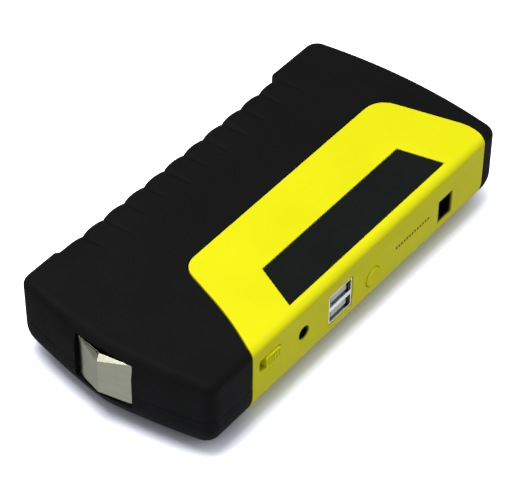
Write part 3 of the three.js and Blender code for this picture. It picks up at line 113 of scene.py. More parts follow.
OUTLET_X, OUTLET_Z, OUTLET_WIDTH, OUTLET_HEIGHT = 52.2, 18.3, 8, 9.8
OUTLET_RIM, OUTLET_CORNER, OUTLET_DEPTH = 0.8, 0.5, 15
OUTLET_WELL, OUTLET_BORE, OUTLET_FLOOR = 5.4, 2.8, 2
BUTTON_X, BUTTON_Z, BUTTON_RADIUS, BUTTON_PROUD = 8.5, 17.2, 3.9, 0.5
BUTTON_TURN, BUTTON_DISH, BUTTON_DISH_INSET = 0.55, 0.32, 0.7
BUTTON_FLANGE, BUTTON_FLANGE_THICK, BUTTON_STEM, BUTTON_STEM_END = 6.1, 0.8, 1.4, 2.8
SELECTOR_X, SELECTOR_Z, SELECTOR_WIDTH, SELECTOR_HEIGHT = -48.2, 24.4, 8, 4.6
SELECTOR_PROUD, SELECTOR_TRAVEL, SELECTOR_CORNER = 0.7, 2.6, 1
SELECTOR_GROOVES, GROOVE_PITCH, GROOVE_WIDTH, GROOVE_DEPTH = 5, 1.3, 0.5, 0.3
SELECTOR_FLANGE, SELECTOR_FLANGE_THICK, SELECTOR_PEG = 1.3, 0.8, 2.4
DOTS, DOT_PITCH, DOT_WIDTH, DOT_HEIGHT, DOTS_X, DOTS_Z = 13, 1.6, 0.95, 1.2, 32, 20.4
DOT_CORNER, DOT_TIP_RECESS = 0.2, 0.12

HAMMER_HALF_WIDTH, HAMMER_BASE, HAMMER_TOP = 11.75, 11.6, HEIGHT - 4.25
HAMMER_BEVEL, HAMMER_CROWN, HAMMER_APEX, HAMMER_POINT = 2.1, 0.85, 1.4, 4.1
HAMMER_SUNK, HAMMER_ROOM, HAMMER_FLANGE, HAMMER_FLANGE_THICK = 1.45, 0.5, 2, 2.6
HAMMER_FLANGE_DROP, HAMMER_FLANGE_RISE = 1.4, 1.6

LAMP_Y, LAMP_Z, LAMP_WIDTH, LAMP_HEIGHT, LAMP_CORNER = -18, 22.4, 26, 13.4, 3
LENS_RIM, LENS_RIM_THICK, REFLECTOR_DEPTH, REFLECTOR_FOOT = 1.2, 1.2, 6, 0.6
LEDS, LED_PITCH, LED_RADIUS, LED_BARREL, LED_DOME = 3, 7.8, 1.4, 1.2, 1.4
CUP_RADIUS = 3.5

SOCKET_Y, SOCKET_Z, SOCKET_WIDTH, SOCKET_HEIGHT, SOCKET_WALL = 17.5, 22.4, 23.4, 12.4, 1.5
SOCKET_DEPTH, SOCKET_FLOOR, SOCKET_BEHIND = 18.5, 4.5, 0.5
CONTACT_PITCH, CONTACT_RADIUS, CONTACT_BORE, CONTACT_BORE_DEPTH = 10.6, 2.6, 1.7, 7
CONTACT_RECESS, CONTACT_TAIL = 7, 2.5
DOOR_MARGIN, DOOR_THICK, DOOR_PLUG, DOOR_PLUG_WALL, DOOR_CORNER = 2, 1.8, 1.8, 1.2, 1.5
DOOR_PLUG_ROOM = (1.6, 1.2)  # how much narrower and lower the plug is than the socket's mouth
HINGE_PIN, HINGE_KNUCKLE, HINGE_INSET, HINGE_REACH = 0.8, 1.6, 1.75, 1.8
PAD, PAD_MARGIN = 2.2, 2.5
SHELL_SCREW_PLACES = [(-75, 22), (-66, -29), (74.4, 0.9), (57, 31)]
SCREW_RADIUS, SCREW_HEAD, SCREW_HEAD_HEIGHT, SCREW_LENGTH, SCREW_SEAT = 1.3, 2.5, 2, 19.5, 7
SCREW_SLOT, SCREW_SLOT_WIDTH, SCREW_SLOT_DEPTH = 2.6, 0.6, 1.2

LABEL_BACK, LABEL_FRONT, LABEL_THICK = -20, -37.2, 0.4
LABEL_BACK_ENDS, LABEL_FRONT_ENDS = (-26, 51.5), (-33.8, 55.5)

# ---- materials

MATERIALS = {}  # by the name of a material slot
NOISE_LOW, NOISE_HIGH = 0.3, 0.7  # the middle part of the noise, over which a value drifts
COLOR_DRIFT, GLOSS_DRIFT, METAL_DRIFT = 35, 60, 120  # features per metre


def feed(node, *inputs, **named_inputs):
    """Sets a node's inputs, by order or name, to constants or other nodes' outputs."""
    pairs = list(zip(node.inputs, inputs))
    pairs += [(node.inputs[name.replace("_", " ")], value) for name, value in named_inputs.items()]
    for socket, value in pairs:
        if isinstance(value, bpy.types.NodeSocket):
            node.id_data.links.new(value, socket)
        else:
            socket.default_value = value


def add_node(material, kind, *inputs, **named_inputs):
    node = material.node_tree.nodes.new("ShaderNode" + kind)
    feed(node, *inputs, **named_inputs)
    return node


def shader_of(material):
    return material.node_tree.nodes["Principled BSDF"]


def node_material(name, color, roughness, **named_inputs):
    """A principled material; further inputs of its shader go by name."""
    material = bpy.data.materials.new(name)
    material.use_nodes = True
    feed(shader_of(material), Base_Color=(*color, 1), Roughness=roughness, **named_inputs)
    MATERIALS[name] = material
    return material


def noise(material, scale, detail, stretch):
    """Noise in object space, in features per metre."""
    place = add_node(material, "TexCoord").outputs["Object"]
    place = add_node(material, "Mapping", Vector=place, Scale=stretch).outputs["Vector"]
    texture = add_node(material, "TexNoise", Vector=place, Scale=scale, Detail=detail)
    return texture.outputs["Fac"]


def add_grain(material, scale, distance, stretch=(1, 1, 1)):
    """Fine relief from noise."""
    height = noise(material, scale, 2, stretch)
    bump = add_node(material, "Bump", Strength=1, Distance=distance, Height=height)
    feed(shader_of(material), Normal=bump.outputs["Normal"])


def vary_color(material, low, high, scale, stretch=(1, 1, 1)):
    """Base colour drifting between two colours over the surface."""
    ramp = add_node(material, "ValToRGB", noise(material, scale, 3, stretch))
    start, end = ramp.color_ramp.elements
    start.position, end.position = NOISE_LOW, NOISE_HIGH
    start.color, end.color = (*low, 1), (*high, 1)
    feed(shader_of(material), Base_Color=ramp.outputs["Color"])


def vary_roughness(material, low, high, scale, stretch=(1, 1, 1)):
    """Roughness drifting between two values over the surface."""
    value = noise(material, scale, 3, stretch)
    spread = add_node(material, "MapRange", value, NOISE_LOW, NOISE_HIGH, low, high)
    feed(shader_of(material), Roughness=spread.outputs["Result"])


def moulded(name, low, high, roughness, specular=0.5, grain=2600, relief=0.00002):
    """Moulded plastic: a fine spark grain, with a slow drift of colour and gloss."""
    material = node_material(name, high, roughness, Specular_IOR_Level=specular)
    vary_color(material, low, high, COLOR_DRIFT)
    vary_roughness(material, roughness - 0.05, roughness + 0.05, GLOSS_DRIFT)
    add_grain(material, grain, relief)


def metal(name, low, high, roughness, scratch=(1, 1, 1), relief=0.00001, scale=900):
    """Bare metal, with fine marks drawn out along one direction."""
    material = node_material(name, high, roughness, Metallic=1)
    vary_color(material, low, high, METAL_DRIFT, scratch)
    vary_roughness(material, roughness * 0.75, roughness * 1.35, scale, scratch)
    add_grain(material, scale, relief, scratch)


moulded("black_shell", (0.006, 0.0062, 0.0061), (0.008, 0.0082, 0.0081), 0.68, 0.05)
moulded("yellow_shell", (0.86, 0.83, 0.0065), (0.91, 0.88, 0.009), 0.46, 0.07)
moulded("label", (0.0065, 0.0088, 0.008), (0.0092, 0.0118, 0.0106), 0.4, 0.08, grain=1500)
metal("steel", (0.245, 0.25, 0.18), (0.28, 0.285, 0.21), 0.20, (1, 1, 12), 0.000003)
metal("tin_plate", (0.58, 0.60, 0.62), (0.68, 0.70, 0.72), 0.30)
moulded("black_plastic", (0.004, 0.004, 0.005), (0.007, 0.007, 0.008), 0.5, 0.12)
moulded("white_plastic", (0.70, 0.70, 0.66), (0.80, 0.80, 0.76), 0.5)
metal("brass", (0.56, 0.37, 0.10), (0.68, 0.47, 0.15), 0.3)
moulded("blue_plastic", (0.012, 0.06, 0.30), (0.02, 0.08, 0.40), 0.45)
moulded("rubber", (0.009, 0.009, 0.010), (0.014, 0.014, 0.015), 0.78, grain=1800)
node_material("clear_plastic", (0.95, 0.97, 0.98), 0.06, Transmission_Weight=0.95, IOR=1.49)
metal("reflector", (0.76, 0.78, 0.80), (0.86, 0.88, 0.90), 0.12)
moulded("led", (0.74, 0.56, 0.10), (0.84, 0.66, 0.16), 0.4)
moulded("board", (0.006, 0.07, 0.025), (0.012, 0.10, 0.035), 0.4)
moulded("ferrite", (0.035, 0.036, 0.040), (0.055, 0.057, 0.060), 0.7, grain=1200)
metal("can", (0.42, 0.44, 0.46), (0.52, 0.54, 0.56), 0.34, (1, 1, 8))
metal("pouch", (0.54, 0.56, 0.59), (0.64, 0.66, 0.69), 0.42, relief=0.00008, scale=250)
metal("nickel", (0.48, 0.45, 0.38), (0.58, 0.55, 0.47), 0.34)
moulded("red_sleeve", (0.34, 0.008, 0.010), (0.44, 0.012, 0.015), 0.5)
moulded("black_sleeve", (0.006, 0.006, 0.006), (0.010, 0.010, 0.010), 0.55)
moulded("foam", (0.05, 0.053, 0.057), (0.08, 0.085, 0.09), 0.95, grain=900, relief=0.0002)
metal("screw_steel", (0.26, 0.27, 0.29), (0.36, 0.37, 0.39), 0.34)
add_grain(MATERIALS["clear_plastic"], 180, 0.00001)


def dress(obj, slot):
    """Gives a piece the finish of one of the record's material slots."""
    obj.data.materials.clear()
    obj.data.materials.append(MATERIALS[slot])


for subpart in frame["record"]["subparts"]:
    dress(frame["nodes"][subpart["node"]], subpart["material_slot"])

# ---- solids


def new_object(name, data):
    obj = bpy.data.objects.new(name, data)
    bpy.context.scene.collection.objects.link(obj)
    return obj


class Solid:
    """A closed mesh in millimetres; + joins, - cuts and & keeps what two share."""

    def __init__(self, points, faces):
        self.mesh = bpy.data.meshes.new("solid")
        self.mesh.from_pydata([tuple(p) for p in points], [], faces)
        work = bmesh.new()
        work.from_mesh(self.mesh)
        bmesh.ops.recalc_face_normals(work, faces=work.faces)
        work.to_mesh(self.mesh)
        work.free()

    def combined(self, other, operation):
        """A new solid by a boolean operation; both operands keep their shape."""
        pair = [new_object("operand", solid.mesh) for solid in (self, other)]
        modifier = pair[0].modifiers.new("combine", "BOOLEAN")
        modifier.operation = operation
        modifier.solver = "MANIFOLD"
        modifier.object = pair[1]
        graph = bpy.context.evaluated_depsgraph_get()
        made = Solid.__new__(Solid)
        made.mesh = bpy.data.meshes.new_from_object(pair[0].evaluated_get(graph))
        for holder in pair:
            bpy.data.objects.remove(holder)
        return made

    def __add__(self, other):
        return self.combined(other, "UNION")

    def __sub__(self, other):
        return self.combined(other, "DIFFERENCE")

    def __and__(self, other):
        return self.combined(other, "INTERSECT")


def loft(rings):
    """A closed skin through rings of equal length, with a flat face over each end ring."""
    count = len(rings[0])
    points = [point for ring in rings for point in ring]
    faces = []
    for r in range(len(rings) - 1):
        for i in range(count):
            a, b = r * count + i, r * count + (i + 1) % count
            faces.append((a, b, b + count, a + count))
    faces.append(tuple(range(count))[::-1])
    faces.append(tuple(range(len(points) - count, len(points))))
    return Solid(points, faces)


def upright(outline, low, high):
    """A plan outline (x, y) between two heights."""
    return loft([[(x, y, z) for x, y in outline] for z in (low, high)])


def along_y(outline, low, high):
    """An outline in (x, z) between two places along y."""
    return loft([[(x, y, z) for x, z in outline] for y in (low, high)])


def along_x(outline, low, high):
    """An outline in (y, z) between two places along x."""
    return loft([[(x, y, z) for y, z in outline] for x in (low, high)])


def arc(u, v, radius, start, end, steps):
    """Points along an arc, angles in degrees."""
    points = []
    for k in range(steps + 1):
        turn = math.radians(start + (end - start) * k / steps)
        points.append((u + radius * math.cos(turn), v + radius * math.sin(turn)))
    return points


def disc(u, v, radius, sides=48):
    return arc(u, v, radius, 0, 360, sides)[:-1]


def rectangle(u, v, width, height, radius=0.0, steps=6):
    """A rectangle by its middle and size, with rounded corners."""
    half_width, half_height = width / 2 - radius, height / 2 - radius
    places = [(1, -1, -90), (1, 1, 0), (-1, 1, 90), (-1, -1, 180)]
    outline = []
    for right, top, start in places:
        middle = (u + right * half_width, v + top * half_height)
        if radius > 0:
            outline += arc(*middle, radius, start, start + 90, steps)
        else:
            outline.append(middle)
    return outline


def revolve(profile, sides=48):
    """A turned piece about z from (radius, height) pairs; it starts and ends on the axis."""
    points = [(0, 0, profile[0][1])]
    rings = profile[1:-1]
    for radius, height in rings:
        points += [(x, y, height) for x, y in disc(0, 0, radius, sides)]
    points.append((0, 0, profile[-1][1]))
    faces = []
    last = len(points) - 1
    for i in range(sides):
        j = (i + 1) % sides
        faces.append((0, 1 + j, 1 + i))
        for r in range(len(rings) - 1):
            a, b = 1 + r * sides, 1 + (r + 1) * sides
            faces.append((a + i, a + j, b + j, b + i))
        foot = 1 + (len(rings) - 1) * sides
        faces.append((foot + i, foot + j, last))
    return Solid(points, faces)


def moved(solid, matrix):
    """The same solid, moved in place."""
    solid.mesh.transform(matrix)
    return solid


def laid(solid, way, x, y, z):
    """A turned piece tipped to point along +X or out of the port side, -Y, its foot at a place."""
    tip = Matrix.Rotation(math.pi / 2, 4, {"+X": "Y", "-Y": "X"}[way])
    return moved(solid, Matrix.Translation((x, y, z)) @ tip)


def at_corner(corners, i):
    """A polygon's corner, and the directions of the sides that come to it and leave it."""
    here = Vector(corners[i][:2])
    before = (here - Vector(corners[i - 1][:2])).normalized()
    after = (Vector(corners[(i + 1) % len(corners)][:2]) - here).normalized()
    return here, before, after


def grow_polygon(corners, distance):
    """A polygon of (x, y, rounding) corners moved outwards by the same distance all round."""
    grown = []
    for i, (x, y, radius) in enumerate(corners):
        _, before, after = at_corner(corners, i)
        across = Vector((before.y + after.y, -before.x - after.x)).normalized()
        reach = distance / across.dot(Vector((before.y, -before.x)))
        grown.append((x + across.x * reach, y + across.y * reach, radius))
    return grown


def rounded_polygon(corners):
    """The outline of a polygon of (x, y, rounding) corners."""
    outline, steps = [], 12
    for i, (x, y, radius) in enumerate(corners):
        if radius == 0:
            outline.append((x, y))
            continue
        tip, before, after = at_corner(corners, i)
        for k in range(steps + 1):
            t = k / steps
            point = tip - before * radius * (1 - t) ** 2 + after * radius * t ** 2
            outline.append((point.x, point.y))
    return outline


# ---- the casing's form


def smooth(t):
    """Eases 0 to 1, level at both ends."""
    return t * t * (3 - 2 * t)


def crest_recess(x):
    """How far the lobes' crests lie below the blocks, more and more towards the far end."""
    share = (x - GRIP_START) / (GRIP_END - GRIP_START)
    return GRIP_RECESS[0] + (GRIP_RECESS[1] - GRIP_RECESS[0]) * share


def grip_profile(fine):
    """Side recess of the +Y side from its far end to its near end, as (x, recess) pairs."""
    deepest = GRIP_RECESS[1] + LOBE_DEPTH
    if not fine:
        return [
            (GRIP_END + GRIP_RAMP_FAR, 0),
            (GRIP_END, deepest),
            (GRIP_START, GRIP_RECESS[0] + LOBE_DEPTH),
            (GRIP_START - GRIP_RAMP_NEAR, 0),
        ]
    ramp, lobe = 6, 12
    profile = [
        (GRIP_END + GRIP_RAMP_FAR * (1 - k / ramp), deepest * smooth(k / ramp))
        for k in range(ramp)
    ]
    for k in range(LOBES * lobe + 1):
        x = GRIP_END - k / lobe * LOBE_PITCH
        from_crest = 1 - 2 * (k % lobe) / lobe
        grooved = k < (LOBES - 0.5) * lobe
        groove = LOBE_DEPTH * abs(from_crest) ** LOBE_POWER if grooved else 0
        profile.append((x, crest_recess(x) + groove))
    profile += [
        (GRIP_START - GRIP_RAMP_NEAR * k / ramp, GRIP_RECESS[0] * (1 - smooth(k / ramp)))
        for k in range(1, ramp + 1)
    ]
    return profile


def corner(start, tip, end, steps):
    """A rounded corner: a cubic curve from start to end, drawn towards the tip."""
    start, tip, end = Vector(start), Vector(tip), Vector(end)
    first, second = start.lerp(tip, CORNER_HANDLE), end.lerp(tip, CORNER_HANDLE)
    points = []
    for k in range(steps + 1):
        t = k / steps
        point = (
            start * (1 - t) ** 3
            + first * 3 * t * (1 - t) ** 2
            + second * 3 * t ** 2 * (1 - t)
            + end * t ** 3
        )
        points.append((point.x, point.y))
    return points


def plan_outline(level, offset, fine):
    """One plan outline of the casing, counter-clockwise from above."""
    half_width = WIDTH / 2 - offset - level["inset"]
    half_length = LENGTH / 2 - offset - level["inset"]
    far_turn = max(FAR_CORNER - offset, LEAST_TURN)
    near_turn = max(NEAR_CORNER - offset - CORNER_TAPER * level["inset"], LEAST_TURN)
    far_y, near_y = half_width - far_turn, half_width - near_turn

    def far(y):
        return half_length - FAR_BOW * (y / (WIDTH / 2)) ** 2

    def near(y):
        lean = level["nose"] * (abs(y) / (WIDTH / 2)) ** NOSE_CURVE
        return -half_length + level["retreat"] + lean

    far_x, near_x = far(half_width), near(half_width)
    far_inner, near_inner = far_x - far_turn, near_x + near_turn
    steps, bends = (24, 10) if fine else (8, 4)

    def far_corner(start, end, side):
        return corner(start, (far_x, side * half_width), end, bends)

    def near_corner(start, end, side):
        return corner(start, (near_x, side * half_width), end, bends)

    outline = [(far(y), y) for y in (far_y * (2 * k / steps - 1) for k in range(1, steps))]
    outline += far_corner((far(far_y), far_y), (far_inner, half_width), 1)
    outline += [(x, half_width - recess) for x, recess in grip_profile(fine)]
    outline += near_corner((near_inner, half_width), (near(near_y), near_y), 1)
    outline += [(near(y), y) for y in (near_y * (1 - 2 * k / steps) for k in range(1, steps))]
    outline += near_corner((near(near_y), -near_y), (near_inner, -half_width), -1)
    outline += far_corner((far_inner, -half_width), (far(far_y), -far_y), -1)
    return outline


def casing_levels(offset, fine):
    """The heights where the outline changes, from the base to the top."""
    top_round = max(TOP_ROUND - offset, 1)
    base_round = BASE_ROUND - offset
    base, top = offset, HEIGHT - offset
    base_steps, belt_steps, top_steps = (16, 8, 10) if fine else (6, 2, 3)
    heights = []  # pairs of height and inset
    for k in range(base_steps + 1):
        turn = k / base_steps * math.pi / 2
        rise, inset = 1 - math.cos(turn), 1 - math.sin(turn)
        heights.append((base + base_round * rise, base_round * inset))
    for k in range(belt_steps):
        heights.append((BELT + (top - top_round - BELT) * k / belt_steps, 0))
    for k in range(top_steps + 1):
        turn = k / top_steps * math.pi / 2
        drop, inset = 1 - math.sin(turn), 1 - math.cos(turn)
        heights.append((top - top_round * drop, top_round * inset))
    levels = []
    for z, inset in heights:
        lean = max((z - BELT) / NOSE_LEAN, 0) ** NOSE_LEAN_POWER
        levels.append(
            {
                "z": z,
                "inset": inset,
                "retreat": NOSE_RETREAT * lean,
                "nose": NOSE_POINT + (NOSE_POINT_TOP - NOSE_POINT) * lean,
            }
        )
    return levels


def casing(offset, fine=False):
    """The casing's whole form, or the same form moved inwards."""
    return loft(
        [
            [(x, y, level["z"]) for x, y in plan_outline(level, offset, fine)]
            for level in casing_levels(offset, fine)
        ]
    )


def far_face(y):
    """The far end's outer face in plan, at the belt."""
    return LENGTH / 2 - FAR_BOW * (y / (WIDTH / 2)) ** 2


def band(low, high):
    """Everything between two heights."""
    return upright(rectangle(0, 0, 2 * LENGTH, 2 * WIDTH), low, high)


def cover_prism(grow):
    """Everything above and below the yellow cover's outline."""
    return upright(rounded_polygon(grow_polygon(COVER_EDGE, grow)), -1, HEIGHT + 1)


# ---- finishing a piece

WELD = 0.0005
NEAR = 0.1  # how far behind a front face its edges are still taken for its own
ON_SURFACE = 0.02
SMOOTH_WEIGHT = 80


def tree_of(solid):
    mesh = solid.mesh
    return BVHTree.FromPolygons(
        [v.co for v in mesh.vertices], [tuple(p.vertices) for p in mesh.polygons]
    )


def round_edges(solid, width, angle=35, segments=2, on=None, keep=None):
    """Rounds every edge sharper than an angle, or those of them that lie on a given surface."""
    work = bmesh.new()
    work.from_mesh(solid.mesh)
    bmesh.ops.remove_doubles(work, verts=work.verts, dist=WELD)
    bmesh.ops.dissolve_degenerate(work, edges=work.edges, dist=WELD)
    chosen = []
    for edge in work.edges:
        if len(edge.link_faces) != 2 or edge.calc_face_angle(0) < math.radians(angle):
            continue
        if on and any(on.find_nearest(vert.co)[3] > ON_SURFACE for vert in edge.verts):
            continue
        if keep and not keep((edge.verts[0].co + edge.verts[1].co) / 2):
            continue
        chosen.append(edge)
    bmesh.ops.bevel(
        work,
        geom=chosen,
        affect="EDGES",
        offset=width,
        offset_type="OFFSET",
        segments=segments,
        profile=0.5,
        clamp_overlap=False,
        miter_outer="ARC",
    )
    work.to_mesh(solid.mesh)
    work.free()


def round_front(solid, width, front):
    """Rounds the edges of a face that looks out of the port side."""
    round_edges(solid, width, keep=lambda place: place.y < front + NEAR)


def piece(name, solid, slot, *nodes, body="housing", sharp=40):
    """Puts a finished solid into the scene in metres, in place of the CAD nodes it stands for."""
    mesh = solid.mesh
    mesh.name = name
    mesh.transform(Matrix.Scale(MM, 4))
    obj = new_object(name, mesh)
    mesh.shade_smooth()
    work = bmesh.new()
    work.from_mesh(mesh)
    for edge in work.edges:
        if len(edge.link_faces) == 2:
            edge.smooth = edge.calc_face_angle(0) < math.radians(sharp)
    work.to_mesh(mesh)
    work.free()
    weighted = obj.modifiers.new("weighted", "WEIGHTED_NORMAL")
    weighted.keep_sharp = True
    weighted.weight = SMOOTH_WEIGHT
    graph = bpy.context.evaluated_depsgraph_get()
    obj.data = bpy.data.meshes.new_from_object(obj.evaluated_get(graph))
    obj.data.name = name
    obj.modifiers.clear()
    dress(obj, slot)
    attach(obj, body)
    if nodes:
        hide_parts(*nodes)


# ---- black shells and yellow cover

outer = casing(0, fine=True)
outer_tree = tree_of(outer)
inner = casing(WALL)
lining_inner = casing(LINING)
skin = outer - inner
lining = casing(WALL + GAP) - lining_inner
thick_wall = casing(WALL - FUSE) - lining_inner

cover_region = cover_prism(SEAM)
inside_ledge = cover_prism(-LEDGE_IN)
ledge_region = cover_prism(LEDGE_OUT)
ledge = (lining & (ledge_region - inside_ledge)) + (thick_wall & (ledge_region - cover_region))

PARTING_LOW = PARTING - HAIRLINE / 2
PARTING_HIGH = PARTING + HAIRLINE / 2
LIP_TOP = PARTING + LIP_ABOVE


def soft_groove(x):
    """Cutter for one flute: a soft-edged groove over the top edge that fades out inwards."""
    edge = WIDTH / 2 - crest_recess(x) - LOBE_DEPTH
    rings = []
    stations, across = 8, 12
    for s in range(stations + 1):
        t = s / stations
        y = edge + 1 - (FLUTE_REACH + 1) * t
        half_width = FLUTE_HALF_WIDTH * (1 - t) + FLUTE_TAIL
        depth = FLUTE_DEPTH * (1 - t) ** FLUTE_FADE + FLUTE_LIFT
        ring = []
        for k in range(across + 1):
            u = 2 * k / across - 1
            drop = depth * (0.5 + 0.5 * math.cos(math.pi * u))
            ring.append((x + half_width * u, y, HEIGHT + FLUTE_LIFT - drop))
        ring += [(x + half_width, y, HEIGHT + 1), (x - half_width, y, HEIGHT + 1)]
        rings.append(ring)
    return loft(rings)


def hammer_mouth():
    """The nose's mouth that the hammer sits in, pointed above as the hammer is."""
    half = HAMMER_HALF_WIDTH + HAMMER_ROOM
    low, high = HAMMER_BASE - HAMMER_ROOM, HAMMER_TOP + HAMMER_ROOM
    return [(-half, low), (half, low), (half, high), (0, high + HAMMER_CROWN), (-half, high)]


hammer_hole = along_x(hammer_mouth(), -LENGTH / 2 - 2, -LENGTH / 2 + 2 * LINING)


def lamp_region(grow):
    """Everything in front of the lamp's window and behind it, from the inside of the end wall."""
    width, height = LAMP_WIDTH + 2 * grow, LAMP_HEIGHT + 2 * grow
    outline = rectangle(LAMP_Y, LAMP_Z, width, height, LAMP_CORNER + grow)
    return along_x(outline, LENGTH / 2 - 2 * LINING - FAR_BOW, LENGTH / 2 + 2)


lamp_hole = lamp_region(0) + (lamp_region(LENS_RIM + GAP) & casing(WALL + GAP / 2))

MOUTH_WIDTH = SOCKET_WIDTH - 2 * SOCKET_WALL
MOUTH_HEIGHT = SOCKET_HEIGHT - 2 * SOCKET_WALL
DOOR_WIDTH = SOCKET_WIDTH + 2 * DOOR_MARGIN
DOOR_HEIGHT = SOCKET_HEIGHT + 2 * DOOR_MARGIN
DOOR_LOW = SOCKET_Z - DOOR_HEIGHT / 2
DOOR_HIGH = SOCKET_Z + DOOR_HEIGHT / 2
HINGE_Y = SOCKET_Y + DOOR_WIDTH / 2
HINGE_X = far_face(HINGE_Y) - HINGE_INSET


def socket_front():
    """Where the jump socket's face stands along x, behind the door."""
    return far_face(SOCKET_Y + SOCKET_WIDTH / 2) - DOOR_THICK - GAP - SOCKET_BEHIND


def door_region(grow):
    """Everything in front of the jump socket's door and behind it."""
    width, height = DOOR_WIDTH + 2 * grow, DOOR_HEIGHT + 2 * grow
    outline = rectangle(SOCKET_Y, SOCKET_Z, width, height, DOOR_CORNER)
    return along_x(outline, LENGTH / 2 - 3 * LINING - FAR_BOW, LENGTH / 2 + 2)


def hinge_rod(radius, reach):
    """A rod on the door's hinge axis, longer than the door by a reach at each end."""
    return upright(disc(HINGE_X, HINGE_Y, radius, 32), DOOR_LOW - reach, DOOR_HIGH + reach)


def hinge_pocket():
    """Room in the shells for the door's knuckle to turn in."""
    low, high = DOOR_LOW - GAP, DOOR_HIGH + GAP
    room = HINGE_KNUCKLE + 2 * GAP
    mouth = upright(rectangle(HINGE_X + 3, HINGE_Y, 6, 2 * room), low, high)
    return upright(disc(HINGE_X, HINGE_Y, room), low, high) + mouth


socket_hole = along_x(
    rectangle(SOCKET_Y, SOCKET_Z, SOCKET_WIDTH + 2 * GAP, SOCKET_HEIGHT + 2 * GAP, 1),
    LENGTH / 2 - 4 * LINING - FAR_BOW,
    LENGTH / 2 + 2,
)
door_cut = (
    (door_region(GAP) - casing(WALL + GAP))
    + socket_hole
    + hinge_pocket()
    + hinge_rod(HINGE_PIN + GAP, HINGE_REACH)
)
door_pad = (casing(WALL - FUSE) - casing(WALL + PAD)) & door_region(PAD_MARGIN)


def round_outer(solid, fine_width, is_fine):
    """Rounds the edges on the outer surface, and some of them more finely."""
    round_edges(solid, OUTER_EDGE, on=outer_tree, keep=lambda place: not is_fine(place))
    round_edges(solid, fine_width, on=outer_tree, keep=is_fine)


def on_parting(place):
    """Whether an edge's middle lies on the joint between the shells."""
    return abs(place.z - PARTING) < SEAM / 2 + ON_SURFACE


def finish_shell(half, shell):
    """Cuts the openings that both shells share, and rounds the outer edges."""
    shell = shell - hammer_hole - lamp_hole - door_cut
    round_outer(shell, PARTING_EDGE, on_parting)
    piece(f"black_shell_{half}", shell, "black_shell", f"{half}_shell")


def build_lower_shell():
    below = band(-1, PARTING_LOW)
    lip_band = band(PARTING - LIP_BELOW, LIP_TOP)
    root_band = band(PARTING - LIP_BELOW, PARTING_LOW)
    lip = ((lining & lip_band) - inside_ledge) + ((thick_wall & root_band) - cover_region)
    shell = ((skin & below) - cover_region) + (ledge & below) + lip + (door_pad & below)
    for x, y in SHELL_SCREW_PLACES:
        shell += upright(disc(x, y, POST_RADIUS), -1, PARTING_LOW) & casing(WALL - FUSE)
    for x, y in SHELL_SCREW_PLACES:
        shell -= upright(disc(x, y, SCREW_HEAD + GAP), -1, SCREW_SEAT)
        shell -= upright(disc(x, y, SCREW_RADIUS + GAP), -1, PARTING)
    finish_shell("lower", shell)


def build_upper_shell():
    above = band(PARTING_HIGH, HEIGHT + 1)
    above_lip = band(LIP_TOP + GAP, HEIGHT + 1)
    shell = ((skin & above) - cover_region) + (ledge & above_lip) + (door_pad & above_lip)
    for k in range(1, LOBES + 1):
        shell -= soft_groove(GRIP_START + k * LOBE_PITCH)
    finish_shell("upper", shell)


def selector_slot():
    width = SELECTOR_WIDTH + SELECTOR_TRAVEL + 2 * GAP
    return rectangle(
        SELECTOR_X - SELECTOR_TRAVEL / 2, SELECTOR_Z, width, SELECTOR_HEIGHT + 2 * GAP, 1.2
    )


def label_outline(grow):
    corners = [(x, LABEL_BACK, 0) for x in LABEL_BACK_ENDS[::-1]]
    corners += [(x, LABEL_FRONT, 0) for x in LABEL_FRONT_ENDS]
    return rounded_polygon(grow_polygon(corners, grow))


def dot_places():
    return [DOTS_X + (k - (DOTS - 1) / 2) * DOT_PITCH for k in range(DOTS)]


def on_dots(place):
    """Whether an edge's middle lies in the row of indicator holes."""
    return abs(place.z - DOTS_Z) < DOT_HEIGHT and abs(place.x - DOTS_X) < DOTS * DOT_PITCH / 2


def build_port_cover():
    start, end = SIDE - 2, SIDE + WALL + 2
    usb_z = BOARD_SEAT + USB_HEIGHT / 2
    outlines = [
        rectangle(USB_X, usb_z, USB_WIDTH + 2 * GAP, USB_HEIGHT + 2 * GAP, 0.4),
        disc(INLET_X, INLET_Z, INLET_HOLE),
        rectangle(OUTLET_X, OUTLET_Z, OUTLET_WIDTH + 2 * GAP, OUTLET_HEIGHT + 2 * GAP, 0.4),
        disc(BUTTON_X, BUTTON_Z, BUTTON_RADIUS + GAP, 64),
        selector_slot(),
    ]
    outlines += [
        rectangle(x, DOTS_Z, DOT_WIDTH, DOT_HEIGHT, DOT_CORNER, 3) for x in dot_places()
    ]
    cover = skin & cover_prism(0)
    for outline in outlines:
        cover -= along_y(outline, start, end)
    cover -= upright(label_outline(GAP), HEIGHT - LABEL_THICK - GAP, HEIGHT + 1)
    round_outer(cover, DOT_EDGE, on_dots)
    piece("yellow_cover", cover, "yellow_shell", "port_cover")


def build_label():
    label = upright(label_outline(0), HEIGHT - LABEL_THICK, HEIGHT)
    round_edges(label, LABEL_EDGE)
    piece("label_film", label, "label", "label_plate")


build_lower_shell()
build_upper_shell()
build_port_cover()
build_label()

# ---- nose


